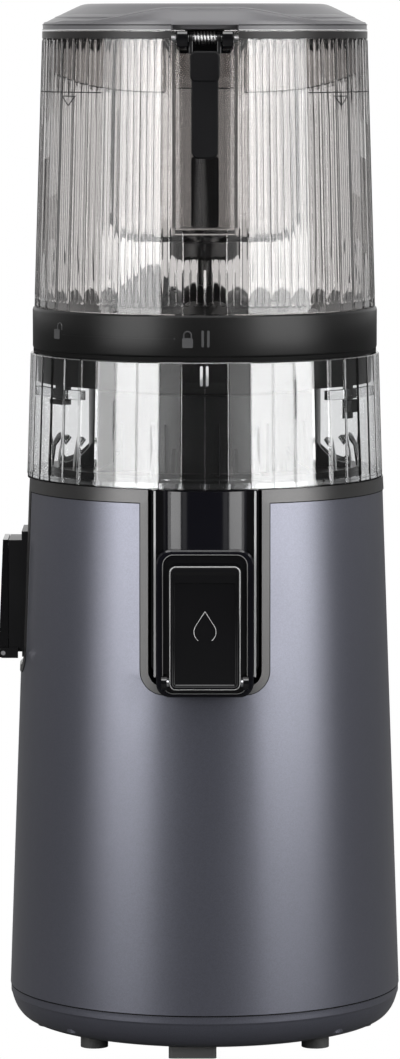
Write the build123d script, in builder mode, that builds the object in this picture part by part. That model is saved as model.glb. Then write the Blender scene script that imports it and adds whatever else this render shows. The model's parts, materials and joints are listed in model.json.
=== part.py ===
from build123d import *
from math import acos, cos, pi, radians, sin, sqrt, tan
import os

os.makedirs("parts", exist_ok=True)

# A self-feeding slow juicer. Millimetres, +Z up, the front faces -Y and the pulp outlet -X.
# The origin is on the drive axis, in the plane of the feet.

# ---------------------------------------------------------------- fits
clearance = 0.3  # between faces of bodies that move past each other
running_fit = 0.05  # radial, shafts and pins in their holes
drop_in = 1.0  # sideways play of the chamber in its well

# ---------------------------------------------------------------- heights, from the ground up
foot_height = 5
tray_height = 15  # base cover, from its flat underside to the seam
seam_gap = 0.6
shell_height = 219.4
trim_height = 5.7
bowl_height = 54
collar_gap = 2  # dark recess between bowl and collar
collar_height = 18
hopper_height = 120
lid_height = 12

tray_z = foot_height
seam_z = tray_z + tray_height
shell_z = seam_z + seam_gap
shell_top_z = shell_z + shell_height
trim_top_z = shell_top_z + trim_height
bowl_z = trim_top_z + clearance
bowl_top_z = bowl_z + bowl_height
collar_z = bowl_top_z + collar_gap
hopper_z = collar_z + collar_height
hopper_top_z = hopper_z + hopper_height
lid_top_z = hopper_top_z + lid_height

# ---------------------------------------------------------------- body
body_foot_r = 86.2
body_top_r = 78.3
wall = 3.0
tray_flat_inset = 10.7  # of the tray's flat underside from the shell's foot
spigot_height = 5  # of the tray's lip inside the shell
spigot_wall = 2
ledge_width = 3
ledge_height = 4
trim_proud = 0.4
trim_ring_width = 11

notch_half_width = 27.6  # front notch, outside of its trim
notch_depth = 81.6  # below the shell's top edge
notch_corner_r = 10
trim_band = 3.3
side_notch_half_width = 20.6
side_notch_depth = 80.5

# ---------------------------------------------------------------- feet and base screws
foot_r = 6
foot_ring_inset = 7.5  # of the feet from the edge of the flat underside
foot_count = 8  # even steps round the base, two of them left out at the front and rear
pad_length = 20.6
pad_width = 7
pad_offset = 5.3  # of the front pad to the left
pad_inset = 3.5
pillar_r = 4.2
pillar_height = 18
boss_sink = 1.2  # of the shell's screw bosses into its wall
screw_r = 1.5
screw_head_r = 3
screw_head_height = 2.4
vent_length = 26
vent_width = 3
vent_pitch = 7
vent_count = 5
vent_y = 40

# ---------------------------------------------------------------- chamber: bowl, well, strainer
facet_count = 45
flute_depth = 0.45
bowl_top_r = 76.4
bowl_wall = 2.6
chamber_wall = 2.4
well_depth = 84  # below the bowl's underside
strainer_r = 50
juice_gap = 4.8  # between strainer and well
strainer_wall = 1.8
strainer_gap = 0.2  # between the two strainers
strainer_height = 119.6
rib_count = 12
slot_count = 14
seat_wall = 2.2
seat_floor_gap = 0.7
seat_floor = 3
hub_r = 13.2
hub_bore_r = 10.4
hub_height = 14
duct_half_width = 23
duct_depth = 78.5  # of its underside below the bowl's
duct_y = 79
lug_width_deg = 24
lug_height = 6
catch_height = 4

# ---------------------------------------------------------------- spouts and caps
nozzle_half_width = 20.75
nozzle_height = 63
nozzle_drop = 88  # of its lower edge below the bowl
nozzle_plate = 2.6
nozzle_y = 82.6
nozzle_corner_r = 6
mouth_half_width = 14
mouth_height = 40
mouth_drop = 74
cap_half_width = 15.9
cap_height = 53.5
cap_depth = 6
cap_corner_r = 4
cap_pin_r = 1.5
cap_face = 2.2
plug_gap = 0.5
plug_wall = 2.5
plug_corner_r = 3
ear_thickness = 2.3

pulp_half_width = 13
pulp_height = 49.25
pulp_drop = 77.25
pulp_wall = 2
pulp_end_x = 86
pulp_flange_x = 77.6
pulp_flange = 2.6
pulp_flange_lip = 2
pulp_flange_top_lip = 4
pulp_cap_depth = 4.4
pulp_cap_top_depth = 2.2
pulp_cap_height = 52
pulp_pin_r = 1

# ---------------------------------------------------------------- auger
flight_gap = 0.6
auger_foot_r = 38
auger_neck_r = 30
flight_pitch = 56
flight_turns = 1.5
flight_root = 8
flight_tip = 3.5
core_r = 9.9
core_height = 36
hex_flats = 11
hex_fit = 0.15
hex_height = 25
cutter_height = 45
cutter_r = 20
wing_reach = 43.5
wing_thickness = 4.5
wing_rise = 10
top_shaft_r = 3.1
top_shaft_height = 17

# ---------------------------------------------------------------- hopper, collar, feed guide
hopper_foot_r = 74.7
hopper_top_r = 70.9
hopper_wall = 2.6
hopper_band = 3
collar_r = 75.5
skirt_r = 71
skirt_wall = 2
skirt_drop = 16
throat_r = 47.2
throat_wall = 2.2
funnel_drop = 7
guide_r = 40
guide_wall = 2
guide_height = 87
guide_corner_r = 12
guide_floor_height = 28  # above the hopper's lower edge
guide_floor = 2.2
knob_r = 14.3
knob_drop = 8
knob_neck_r = 9
knob_ring_height = 3.8
web_height = 46

channel_half_width = 14.3
channel_wall = 2
channel_depth = 9
channel_height = 86  # down from the hopper's top edge
latch_pin_r = 1.5
latch_pin_drop = 2.8  # below the hopper's top edge
latch_pin_y = 65.5
latch_ear_r = 5.2
latch_ear_width = 5.2
lever_half_width = 5.7
lever_head_half_width = 6.3
lever_length = 51
lever_thickness = 4
lever_head_length = 18.5
lug_thickness = 1.6
lug_rim = 1.7

# ---------------------------------------------------------------- lid
lid_r = 70.7
lid_rim_height = 3.1
lid_plateau_r = 53
lid_wall = 2.5
lid_skirt_r = 65.5
lid_skirt_wall = 2.2
lid_skirt_drop = 26
lid_gap_half_width = 17
tab_half_width = 15
tab_spread = 50
hinge_y = 76.5
hinge_drop = 2
hinge_r = 4.4
hinge_pin_r = 1.75
hinge_half_width = 16
knuckle_half_width = 9
seal_width = 1.6

# ---------------------------------------------------------------- drive
gear_distance = 36
motor_pinion_module = 1
motor_pinion_teeth = 14
idler_teeth = 58
output_module = 1.5
idler_pinion_teeth = 12
output_teeth = 36
backlash = 0.3
stage_one_face = 8
stage_two_face = 13
motor_shaft_r = 4
drive_shaft_r = 9
idler_pin_r = 4
gearbox_wall = 3
gearbox_r = 50
gearbox_bulge_r = 33
gearbox_height = 50
gearbox_lid = 4
post_r = 6
post_ring_r = 42
post_height = 10
damper_height = 4
bearing_r = 15
bearing_height = 11
motor_r = 38
motor_wall = 2.2
motor_floor_gap = 20.3  # between the tray's floor and the motor can
stator_bore_r = 24
rotor_r = 23.4
rotor_rise = 18  # of the rotor above the can's open end
rotor_end_gap = 14
fan_r = 30
fan_height = 8
fan_blades = 9

# ---------------------------------------------------------------- rear: switch and cord gland
switch_half_width = 12
switch_height = 34
switch_z = 78
rocker_half_width = 7
rocker_height = 22
gland_z = 36
gland_r = 7.5
gland_bore_r = 3.6
gland_proud = 2
gland_depth = 10
gland_flange = 2

left = Plane(origin=(0, 0, 0), x_dir=(0, -1, 0), z_dir=(-1, 0, 0))
front = Plane.XZ
rear = Plane(origin=(0, 0, 0), x_dir=(-1, 0, 0), z_dir=(0, 1, 0))
side = Plane.YZ


def body_r(z):
    # outer radius of the tapered body at a height
    return body_foot_r + (body_top_r - body_foot_r) * (z - seam_z) / (shell_top_z - seam_z)


def outline(plane, *points):
    # closed straight-sided profile on a plane
    with BuildSketch(plane) as drawn:
        with BuildLine():
            Polyline(*points, close=True)
        make_face()
    return drawn.sketch


def turned(*points):
    # half section of a turned piece, points as radius and height
    return outline(Plane.XZ, *points)


def u_shape(plane, half_width, bottom, top, corner_r):
    # notch outline, open upwards, with two rounded lower corners
    with BuildSketch(plane) as drawn:
        with BuildLine():
            Polyline((-half_width, bottom), (half_width, bottom), (half_width, top), (-half_width, top), close=True)
        make_face()
        fillet(drawn.vertices().group_by(Axis.Y)[0], corner_r)
    return drawn.sketch


def block(plane, half_width, bottom, top):
    # plain rectangle, centred left to right
    return outline(plane, (-half_width, bottom), (half_width, bottom), (half_width, top), (-half_width, top))


def round_face(height, *radii):
    # disc, or ring where a second radius is given
    with BuildSketch(Plane.XY.offset(height)) as drawn:
        Circle(radii[0])
        if len(radii) > 1:
            Circle(radii[1], mode=Mode.SUBTRACT)
    return drawn.sketch


def fluted(radius, height):
    # ring of shallow concave flutes, with a ridge at the front centre
    half_step = pi / facet_count
    valley = radius * cos(half_step) - flute_depth
    corners = []
    for k in range(2 * facet_count):
        r = radius if k % 2 == 0 else valley
        angle = k * half_step - pi / 2
        corners.append((r * cos(angle), r * sin(angle)))
    with BuildSketch(Plane.XY.offset(height)) as drawn:
        Polygon(*corners, align=None)
    return drawn.sketch


def flats(radius, height):
    # regular outline with one flat behind each flute
    with BuildSketch(Plane.XY.offset(height)) as drawn:
        RegularPolygon(radius, facet_count, rotation=-90)
    return drawn.sketch


def gear_face(height, module, teeth, flank_steps, turn=0, play=backlash):
    # external spur gear with involute flanks at 20 degrees
    pitch_r = module * teeth / 2
    base_r = pitch_r * cos(radians(20))
    tip_r = pitch_r + module
    root_r = pitch_r - 1.25 * module
    half_at_pitch = pi / (2 * teeth) - play / (2 * pitch_r)
    pressure = tan(radians(20)) - radians(20)
    flank = []
    for k in range(flank_steps + 1):
        r = max(root_r, base_r) + (tip_r - max(root_r, base_r)) * k / flank_steps
        roll = acos(min(1, base_r / r))
        flank.append((r, half_at_pitch + pressure - (tan(roll) - roll)))
    if base_r > root_r:
        flank.insert(0, (root_r, flank[0][1]))
    corners = []
    for tooth in range(teeth):
        middle = 2 * pi * tooth / teeth + radians(turn)
        for r, half in flank:
            corners.append((r * cos(middle - half), r * sin(middle - half)))
        for r, half in reversed(flank):
            corners.append((r * cos(middle + half), r * sin(middle + half)))
    with BuildSketch(Plane.XY.offset(height)) as drawn:
        Polygon(*corners, align=None)
    return drawn.sketch


# ================================================================ base unit
spigot_r = body_r(seam_z) - wall - clearance
tray_flat_r = body_foot_r - tray_flat_inset
foot_ring_r = tray_flat_r - foot_ring_inset
pad_y = tray_flat_r - pad_inset
pillar_ring_r = spigot_r - pillar_r
pillar_spots = [45, 135, 225, 315]
screw_seat_z = tray_z + 6

with BuildPart() as base_cover:
    revolve(
        turned(
            (0, tray_z),
            (tray_flat_r, tray_z),
            (body_foot_r - 3.5, tray_z + 0.3 * tray_height),
            (body_foot_r - 0.3, seam_z - 3),
            (body_foot_r - 0.3, seam_z),
            (spigot_r, seam_z),
            (spigot_r, seam_z + spigot_height),
            (spigot_r - spigot_wall, seam_z + spigot_height),
            (spigot_r - spigot_wall, tray_z + wall + 5),
            (tray_flat_r - 2, tray_z + wall),
            (0, tray_z + wall),
        ),
        axis=Axis.Z,
    )
    with BuildSketch(Plane.XY.offset(tray_z + wall)):
        for angle in pillar_spots:
            with PolarLocations(pillar_ring_r, 1, angle):
                Circle(pillar_r)
    extrude(amount=seam_z + spigot_height - tray_z - wall)
    with BuildSketch(Plane.XY.offset(tray_z)):
        for angle in pillar_spots:
            with PolarLocations(pillar_ring_r, 1, angle):
                Circle(screw_head_r + clearance)
    extrude(amount=screw_seat_z - tray_z, mode=Mode.SUBTRACT)
    with BuildSketch(Plane.XY.offset(tray_z)):
        for angle in pillar_spots:
            with PolarLocations(pillar_ring_r, 1, angle):
                Circle(screw_r + running_fit)
    extrude(amount=tray_height + spigot_height, mode=Mode.SUBTRACT)
    with BuildSketch(Plane.XY.offset(tray_z)):
        for y in (-vent_y, vent_y):
            with Locations((0, y)):
                with GridLocations(vent_pitch, 0, vent_count, 1):
                    Rectangle(vent_width, vent_length)
    extrude(amount=wall, mode=Mode.SUBTRACT)

with BuildPart() as round_feet:
    with BuildSketch(Plane.XY):
        for k in range(foot_count):
            if k % 4 != 2:
                with PolarLocations(foot_ring_r, 1, k * 360 / foot_count):
                    Circle(foot_r)
    extrude(amount=foot_height)

with BuildPart() as front_foot:
    with BuildSketch(Plane.XY):
        with Locations((-pad_offset, -pad_y)):
            RectangleRounded(pad_length, pad_width, 1.5)
    extrude(amount=foot_height)

with BuildPart() as base_screws:
    for angle in pillar_spots:
        with BuildSketch(Plane.XY.offset(screw_seat_z - screw_head_height)):
            with PolarLocations(pillar_ring_r, 1, angle):
                RegularPolygon(screw_head_r, 6)
        extrude(amount=screw_head_height)
        with BuildSketch(Plane.XY.offset(screw_seat_z)):
            with PolarLocations(pillar_ring_r, 1, angle):
                Circle(screw_r)
        extrude(amount=seam_z + spigot_height + 12 - screw_seat_z)

ledge_top_z = shell_top_z - seat_floor
pillar_z = seam_z + spigot_height + 1
notch_z = shell_top_z - notch_depth
side_notch_z = shell_top_z - side_notch_depth
above = trim_top_z + 10

with BuildPart() as body_shell:
    revolve(
        turned(
            (body_r(shell_z), shell_z),
            (body_r(shell_top_z), shell_top_z),
            (body_r(shell_top_z) - wall, shell_top_z),
            (body_r(shell_top_z) - wall, ledge_top_z),
            (body_r(shell_top_z) - wall - ledge_width, ledge_top_z),
            (body_r(shell_top_z) - wall - ledge_width, ledge_top_z - ledge_height),
            (body_r(shell_z) - wall, shell_z),
        ),
        axis=Axis.Z,
    )
    with BuildSketch(Plane.XY.offset(pillar_z)):
        for angle in pillar_spots:
            with PolarLocations(pillar_ring_r, 1, angle):
                Circle(pillar_r + clearance + boss_sink)
    extrude(amount=pillar_height)
    with BuildSketch(Plane.XY.offset(pillar_z)):
        for angle in pillar_spots:
            with PolarLocations(pillar_ring_r, 1, angle):
                Circle(screw_r + running_fit)
    extrude(amount=pillar_height - 3, mode=Mode.SUBTRACT)
    extrude(
        u_shape(front.offset(body_top_r - 20), notch_half_width, notch_z, above, notch_corner_r),
        amount=40,
        mode=Mode.SUBTRACT,
    )
    extrude(
        u_shape(left.offset(body_top_r - 20), side_notch_half_width, side_notch_z, above, notch_corner_r),
        amount=40,
        mode=Mode.SUBTRACT,
    )
    extrude(
        block(rear.offset(body_top_r - 20), switch_half_width, switch_z - switch_height / 2, switch_z + switch_height / 2),
        amount=40,
        mode=Mode.SUBTRACT,
    )
    with BuildSketch(rear.offset(body_top_r - 20)):
        with Locations((0, gland_z)):
            Circle(gland_r)
    extrude(amount=40, mode=Mode.SUBTRACT)

# The trim is a ring on the shell's edge, with a band that lines both notches.
inside = body_top_r - 20
inner_half_width = notch_half_width - trim_band
inner_notch_z = notch_z + trim_band
inner_corner_r = notch_corner_r - trim_band
side_inner_half_width = side_notch_half_width - trim_band
side_inner_z = side_notch_z + trim_band

with BuildPart() as body_trim:
    extrude(u_shape(front.offset(inside), notch_half_width, notch_z, above, notch_corner_r), amount=40)
    extrude(u_shape(left.offset(inside), side_notch_half_width, side_notch_z, above, notch_corner_r), amount=40)
    revolve(
        turned(
            (body_r(notch_z - 10) + trim_proud, notch_z - 10),
            (body_r(shell_top_z) + trim_proud, shell_top_z),
            (body_r(shell_top_z) - wall, shell_top_z),
            (body_r(notch_z - 10) - wall, notch_z - 10),
        ),
        axis=Axis.Z,
        mode=Mode.INTERSECT,
    )
    revolve(
        turned(
            (body_top_r + trim_proud, shell_top_z),
            (body_top_r + trim_proud - 0.3, trim_top_z),
            (body_top_r - trim_ring_width, trim_top_z),
            (body_top_r - trim_ring_width, shell_top_z),
        ),
        axis=Axis.Z,
    )
    extrude(
        u_shape(front.offset(inside), inner_half_width, inner_notch_z, above, inner_corner_r),
        amount=40,
        mode=Mode.SUBTRACT,
    )
    extrude(
        u_shape(left.offset(inside), side_inner_half_width, side_inner_z, above, inner_corner_r),
        amount=40,
        mode=Mode.SUBTRACT,
    )

# The seat is the deck with the well that the chamber drops into, and a channel to each notch.
well_inner_r = strainer_r + juice_gap
well_outer_r = well_inner_r + chamber_wall
seat_inner_r = well_outer_r + drop_in
well_z = bowl_z - well_depth
seat_floor_z = well_z - seat_floor_gap
seat_z = seat_floor_z - seat_floor
seal_r = drive_shaft_r + 3

with BuildPart() as chamber_seat:
    extrude(round_face(seat_z, seat_inner_r + seat_wall), amount=shell_top_z - seat_z)
    extrude(
        u_shape(front, inner_half_width + seat_wall, inner_notch_z - seat_wall, shell_top_z, inner_corner_r + seat_wall),
        amount=body_foot_r,
    )
    extrude(
        u_shape(
            left, side_inner_half_width + seat_wall, side_inner_z - seat_wall, shell_top_z, inner_corner_r + seat_wall
        ),
        amount=body_foot_r,
    )
    extrude(round_face(shell_top_z - seat_floor, body_foot_r), amount=seat_floor)
    revolve(
        turned(
            (0, seat_z),
            (body_top_r - wall, seat_z),
            (body_top_r - wall, shell_top_z),
            (0, shell_top_z),
        ),
        axis=Axis.Z,
        mode=Mode.INTERSECT,
    )
    extrude(round_face(seat_floor_z, seat_inner_r), amount=well_depth, mode=Mode.SUBTRACT)
    extrude(
        u_shape(front, inner_half_width, inner_notch_z, above, inner_corner_r),
        amount=body_foot_r,
        mode=Mode.SUBTRACT,
    )
    extrude(
        u_shape(left, side_inner_half_width, side_inner_z, above, inner_corner_r),
        amount=body_foot_r,
        mode=Mode.SUBTRACT,
    )
    extrude(round_face(seat_z, seal_r), amount=seat_floor, mode=Mode.SUBTRACT)

with BuildPart() as shaft_seal:
    revolve(
        turned(
            (drive_shaft_r + running_fit, seat_z - 2),
            (seal_r + 2.5, seat_z - 2),
            (seal_r + 2.5, seat_z),
            (seal_r, seat_z),
            (seal_r, seat_floor_z),
            (drive_shaft_r + running_fit, seat_floor_z),
        ),
        axis=Axis.Z,
    )

# ---------------------------------------------------------------- gearbox and motor
damper_z = seat_z - damper_height
box_lid_z = damper_z - post_height - gearbox_lid
box_z = box_lid_z - gearbox_height + gearbox_lid
bearing_z = box_lid_z + gearbox_lid + 8 - bearing_height
stage_one_z = box_z + gearbox_wall + 3
stage_two_z = stage_one_z + stage_one_face
output_z = stage_two_z + 1
motor_top_z = box_z
motor_z = tray_z + wall + motor_floor_gap
motor_height = motor_top_z - motor_z


def gearbox_outline(height, inset=0):
    # round box with a bulge over the compound gear
    with BuildSketch(Plane.XY.offset(height)) as drawn:
        Circle(gearbox_r - inset)
        with Locations((gear_distance, 0)):
            Circle(gearbox_bulge_r - inset)
    return drawn.sketch


with BuildPart() as gearbox_case:
    extrude(gearbox_outline(box_z), amount=box_lid_z - box_z)
    extrude(gearbox_outline(box_z + gearbox_wall, gearbox_wall), amount=gearbox_height, mode=Mode.SUBTRACT)
    with BuildSketch(Plane.XY.offset(box_z + gearbox_wall)):
        with PolarLocations(gearbox_r - gearbox_wall - 2, 3, 60):
            Circle(4)
    extrude(amount=box_lid_z - box_z - gearbox_wall)
    extrude(round_face(box_z, motor_shaft_r + 3), amount=gearbox_wall, mode=Mode.SUBTRACT)
    with BuildSketch(Plane.XY.offset(box_z + gearbox_wall)):
        with Locations((gear_distance, 0)):
            Circle(idler_pin_r + 3)
            Circle(idler_pin_r, mode=Mode.SUBTRACT)
    extrude(amount=3 - clearance)
    with BuildSketch(Plane.XY.offset(box_lid_z - 12)):
        with PolarLocations(gearbox_r - gearbox_wall - 2, 3, 60):
            Circle(screw_r)
    extrude(amount=12, mode=Mode.SUBTRACT)

with BuildPart() as gearbox_cover:
    extrude(gearbox_outline(box_lid_z), amount=gearbox_lid)
    extrude(round_face(box_lid_z + gearbox_lid, bearing_r + 3), amount=bearing_z + bearing_height - box_lid_z - 4)
    with BuildSketch(Plane.XY.offset(box_lid_z + gearbox_lid)):
        with PolarLocations(post_ring_r, 4, 45):
            Circle(post_r)
    extrude(amount=post_height)
    extrude(round_face(bearing_z, bearing_r), amount=bearing_height, mode=Mode.SUBTRACT)
    extrude(round_face(box_lid_z, drive_shaft_r + 2), amount=gearbox_lid, mode=Mode.SUBTRACT)
    with BuildSketch(Plane.XY.offset(box_lid_z)):
        with Locations((gear_distance, 0)):
            Circle(idler_pin_r)
        with PolarLocations(gearbox_r - gearbox_wall - 2, 3, 60):
            Circle(screw_r)
    extrude(amount=gearbox_lid, mode=Mode.SUBTRACT)

with BuildPart() as gearbox_screws:
    with BuildSketch(Plane.XY.offset(box_lid_z - 12)):
        with PolarLocations(gearbox_r - gearbox_wall - 2, 3, 60):
            Circle(screw_r)
    extrude(amount=12 + gearbox_lid)
    with BuildSketch(Plane.XY.offset(box_lid_z + gearbox_lid)):
        with PolarLocations(gearbox_r - gearbox_wall - 2, 3, 60):
            RegularPolygon(screw_head_r, 6)
    extrude(amount=screw_head_height)

with BuildPart() as gearbox_dampers:
    with BuildSketch(Plane.XY.offset(damper_z)):
        with PolarLocations(post_ring_r, 4, 45):
            Circle(post_r)
    extrude(amount=damper_height)

with BuildPart() as output_bearing:
    extrude(round_face(bearing_z, bearing_r, drive_shaft_r + running_fit), amount=bearing_height)

with BuildPart() as idler_pin:
    with BuildSketch(Plane.XY.offset(box_z + gearbox_wall)):
        with Locations((gear_distance, 0)):
            Circle(idler_pin_r)
    extrude(amount=box_lid_z + gearbox_lid - box_z - gearbox_wall)

fan_z = motor_z + 3
rotor_z = motor_z + rotor_rise
rotor_height = motor_height - rotor_rise - rotor_end_gap
bearing_rise = 7
lower_bearing_z = motor_z - 8

with BuildPart() as motor_housing:
    extrude(round_face(motor_z, motor_r), amount=motor_height)
    extrude(round_face(motor_z, motor_r - motor_wall), amount=motor_height - motor_wall, mode=Mode.SUBTRACT)
    extrude(round_face(motor_top_z - motor_wall, motor_shaft_r + 3), amount=motor_wall, mode=Mode.SUBTRACT)
    with BuildSketch(Plane.XY.offset(motor_z)):
        with PolarLocations(motor_r - motor_wall / 2, 6):
            Rectangle(12, 18)
    extrude(amount=12, mode=Mode.SUBTRACT)

with BuildPart() as stator:
    with BuildSketch(Plane.XY.offset(rotor_z)):
        Circle(motor_r - motor_wall)
        Circle(stator_bore_r, mode=Mode.SUBTRACT)
        with PolarLocations(stator_bore_r + 4.5, 12, 15):
            Rectangle(7, 5, mode=Mode.SUBTRACT)
    extrude(amount=rotor_height)

with BuildPart() as motor_bearings:
    extrude(
        round_face(motor_top_z - motor_wall - bearing_rise, 3 * motor_shaft_r, motor_shaft_r + running_fit),
        amount=bearing_rise,
    )
    extrude(round_face(lower_bearing_z, 3 * motor_shaft_r, motor_shaft_r + running_fit), amount=bearing_rise)

with BuildPart() as motor_end_plate:
    extrude(round_face(motor_z - motor_wall, motor_r), amount=motor_wall)
    extrude(round_face(lower_bearing_z - 1, 3 * motor_shaft_r + 2), amount=motor_z - motor_wall - lower_bearing_z + 1)
    extrude(round_face(lower_bearing_z, 3 * motor_shaft_r), amount=bearing_rise, mode=Mode.SUBTRACT)
    extrude(round_face(lower_bearing_z, 2 * motor_shaft_r), amount=12, mode=Mode.SUBTRACT)
    with BuildSketch(Plane.XY.offset(motor_z - motor_wall)):
        with PolarLocations(0.66 * motor_r, 6):
            Rectangle(6, 14)
    extrude(amount=motor_wall, mode=Mode.SUBTRACT)

with BuildPart() as rotor:
    extrude(round_face(rotor_z, rotor_r, motor_shaft_r), amount=rotor_height)

with BuildPart() as motor_shaft:
    extrude(round_face(lower_bearing_z + 0.5, motor_shaft_r), amount=stage_two_z - lower_bearing_z - 0.5)

with BuildPart() as cooling_fan:
    extrude(round_face(fan_z, fan_r, 2 * motor_shaft_r), amount=1.5)
    extrude(round_face(fan_z, 2 * motor_shaft_r + 1, motor_shaft_r), amount=fan_height)
    with BuildSketch(Plane.XY.offset(fan_z)):
        with PolarLocations(0.62 * fan_r, fan_blades):
            Rectangle(0.72 * fan_r, 1.4, rotation=20)
    extrude(amount=fan_height)

with BuildPart() as motor_pinion:
    extrude(gear_face(stage_one_z, motor_pinion_module, motor_pinion_teeth, 3), amount=stage_one_face)
    extrude(round_face(stage_one_z, motor_shaft_r), amount=stage_one_face, mode=Mode.SUBTRACT)

half_tooth = 180 / idler_teeth
with BuildPart() as idler_gear:
    with BuildSketch(Plane.XY.offset(stage_one_z)):
        with Locations(Location((gear_distance, 0, 0), (0, 0, half_tooth))):
            add(gear_face(0, motor_pinion_module, idler_teeth, 1))
    extrude(amount=stage_one_face - 0.5)
    with BuildSketch(Plane.XY.offset(stage_one_z)):
        with Locations(Location((gear_distance, 0, 0), (0, 0, 180 / idler_pinion_teeth))):
            add(gear_face(0, output_module, idler_pinion_teeth, 3))
    extrude(amount=stage_one_face + stage_two_face + 2)
    with BuildSketch(Plane.XY.offset(stage_one_z)):
        with Locations((gear_distance, 0)):
            Circle(idler_pin_r + running_fit)
    extrude(amount=stage_one_face + stage_two_face + 2, mode=Mode.SUBTRACT)

with BuildPart() as output_gear:
    extrude(gear_face(output_z, output_module, output_teeth, 2), amount=stage_two_face)
    extrude(round_face(output_z, drive_shaft_r), amount=stage_two_face, mode=Mode.SUBTRACT)

hex_z = seat_floor_z + 1
with BuildPart() as drive_shaft:
    extrude(round_face(output_z, drive_shaft_r), amount=hex_z - output_z)
    with BuildSketch(Plane.XY.offset(hex_z)):
        RegularPolygon(hex_flats / 2, 6, major_radius=False)
    extrude(amount=hex_height)

# ---------------------------------------------------------------- rear: switch, cord gland, electronics
switch_y = body_r(switch_z + switch_height / 2) - 1
switch_back_y = switch_y - 22
rocker_y = switch_y - 3

with BuildPart() as switch_housing:
    extrude(
        block(
            rear.offset(switch_back_y),
            switch_half_width - running_fit,
            switch_z - switch_height / 2 + running_fit,
            switch_z + switch_height / 2 - running_fit,
        ),
        amount=switch_y - switch_back_y,
    )
    extrude(
        block(
            rear.offset(switch_y - 12),
            rocker_half_width + clearance,
            switch_z - rocker_height / 2 - 2 * clearance,
            switch_z + rocker_height / 2 + 2 * clearance,
        ),
        amount=12,
        mode=Mode.SUBTRACT,
    )
    with BuildSketch(side.offset(-rocker_half_width - 3)):
        with Locations((rocker_y - 3, switch_z)):
            Circle(1.5 + running_fit)
    extrude(amount=2 * rocker_half_width + 6, mode=Mode.SUBTRACT)

with BuildPart() as power_rocker:
    extrude(
        outline(
            side.offset(-rocker_half_width),
            (rocker_y - 5, switch_z - 0.3 * rocker_height),
            (rocker_y, switch_z - rocker_height / 2),
            (rocker_y + 3.2, switch_z - rocker_height / 2 + 0.6),
            (rocker_y + 1.6, switch_z),
            (rocker_y + 3.2, switch_z + rocker_height / 2 - 0.6),
            (rocker_y, switch_z + rocker_height / 2),
            (rocker_y - 5, switch_z + 0.3 * rocker_height),
        ),
        amount=2 * rocker_half_width,
    )
    with BuildSketch(side.offset(-rocker_half_width - 2)):
        with Locations((rocker_y - 3, switch_z)):
            Circle(1.5)
    extrude(amount=2 * rocker_half_width + 4)

gland_back_y = body_r(gland_z) - gland_depth
with BuildPart() as cord_gland:
    with BuildSketch(rear.offset(gland_back_y)):
        with Locations((0, gland_z)):
            Circle(gland_r - running_fit)
    extrude(amount=gland_depth + gland_proud)
    with BuildSketch(rear.offset(gland_back_y)):
        with Locations((0, gland_z)):
            Circle(gland_r + gland_flange)
    extrude(amount=gland_depth - wall - 1.2)
    with BuildSketch(rear.offset(gland_back_y)):
        with Locations((0, gland_z)):
            Circle(gland_bore_r)
    extrude(amount=gland_depth + gland_proud, mode=Mode.SUBTRACT)

with BuildPart() as control_board:
    extrude(block(rear.offset(switch_back_y - 1.6), 24, switch_z - 30, switch_z + 14), amount=1.6)
    for x, z, half, tall, deep in ((-14, -18, 6, 12, 9), (6, -20, 5, 10, 11), (14, 2, 5, 9, 6)):
        with BuildSketch(rear.offset(switch_back_y - 1.6)):
            with Locations((x, switch_z + z)):
                Rectangle(2 * half, tall)
        extrude(amount=-deep)

with BuildPart() as interlock_sensor:
    extrude(
        block(rear.offset(seat_inner_r + seat_wall + 2), 9, ledge_top_z - 11, ledge_top_z),
        amount=7,
    )

# ================================================================ juice chamber
bowl_foot_r = body_top_r - 0.2
bowl_floor_z = bowl_z + chamber_wall
well_floor_z = well_z + chamber_wall
duct_z = bowl_z - duct_depth
duct_floor_z = duct_z + chamber_wall
nozzle_z = bowl_z - nozzle_drop
mouth_z = bowl_z - mouth_drop
mouth_top_z = mouth_z + mouth_height
nozzle_front_y = nozzle_y + nozzle_plate
lug_z = bowl_top_z - skirt_drop - lug_height - 2
catch_z = lug_z + lug_height + clearance
lug_spots = [90, 210, 330]
pulp_z = bowl_z - pulp_drop
pulp_top_z = pulp_z + pulp_height
strainer_z = well_floor_z
strainer_top_z = strainer_z + strainer_height
cap_pin_y = nozzle_front_y + clearance + cap_depth / 2
cap_z = nozzle_z + 3.5
cap_pin_z = cap_z + cap_depth / 2
ear_r = cap_depth / 2
bowl_inner_top_r = bowl_top_r - bowl_wall
bowl_inner_foot_r = bowl_foot_r - bowl_wall
rib_y = sqrt(bowl_inner_top_r**2 - duct_half_width**2) + 1.5


def arc_block(height, outer_r, inner_r, middle_deg, width_deg):
    # piece of a ring between two angles, the middle angle counted from +X
    far = 1.5 * outer_r
    ends = [radians(middle_deg - width_deg / 2), radians(middle_deg + width_deg / 2)]
    with BuildSketch(Plane.XY.offset(height)) as drawn:
        Circle(outer_r)
        Circle(inner_r, mode=Mode.SUBTRACT)
        with BuildSketch(Plane.XY.offset(height), mode=Mode.INTERSECT):
            with BuildLine():
                Polyline((0, 0), *[(far * cos(end), far * sin(end)) for end in ends], close=True)
            make_face()
    return drawn.sketch


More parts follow.
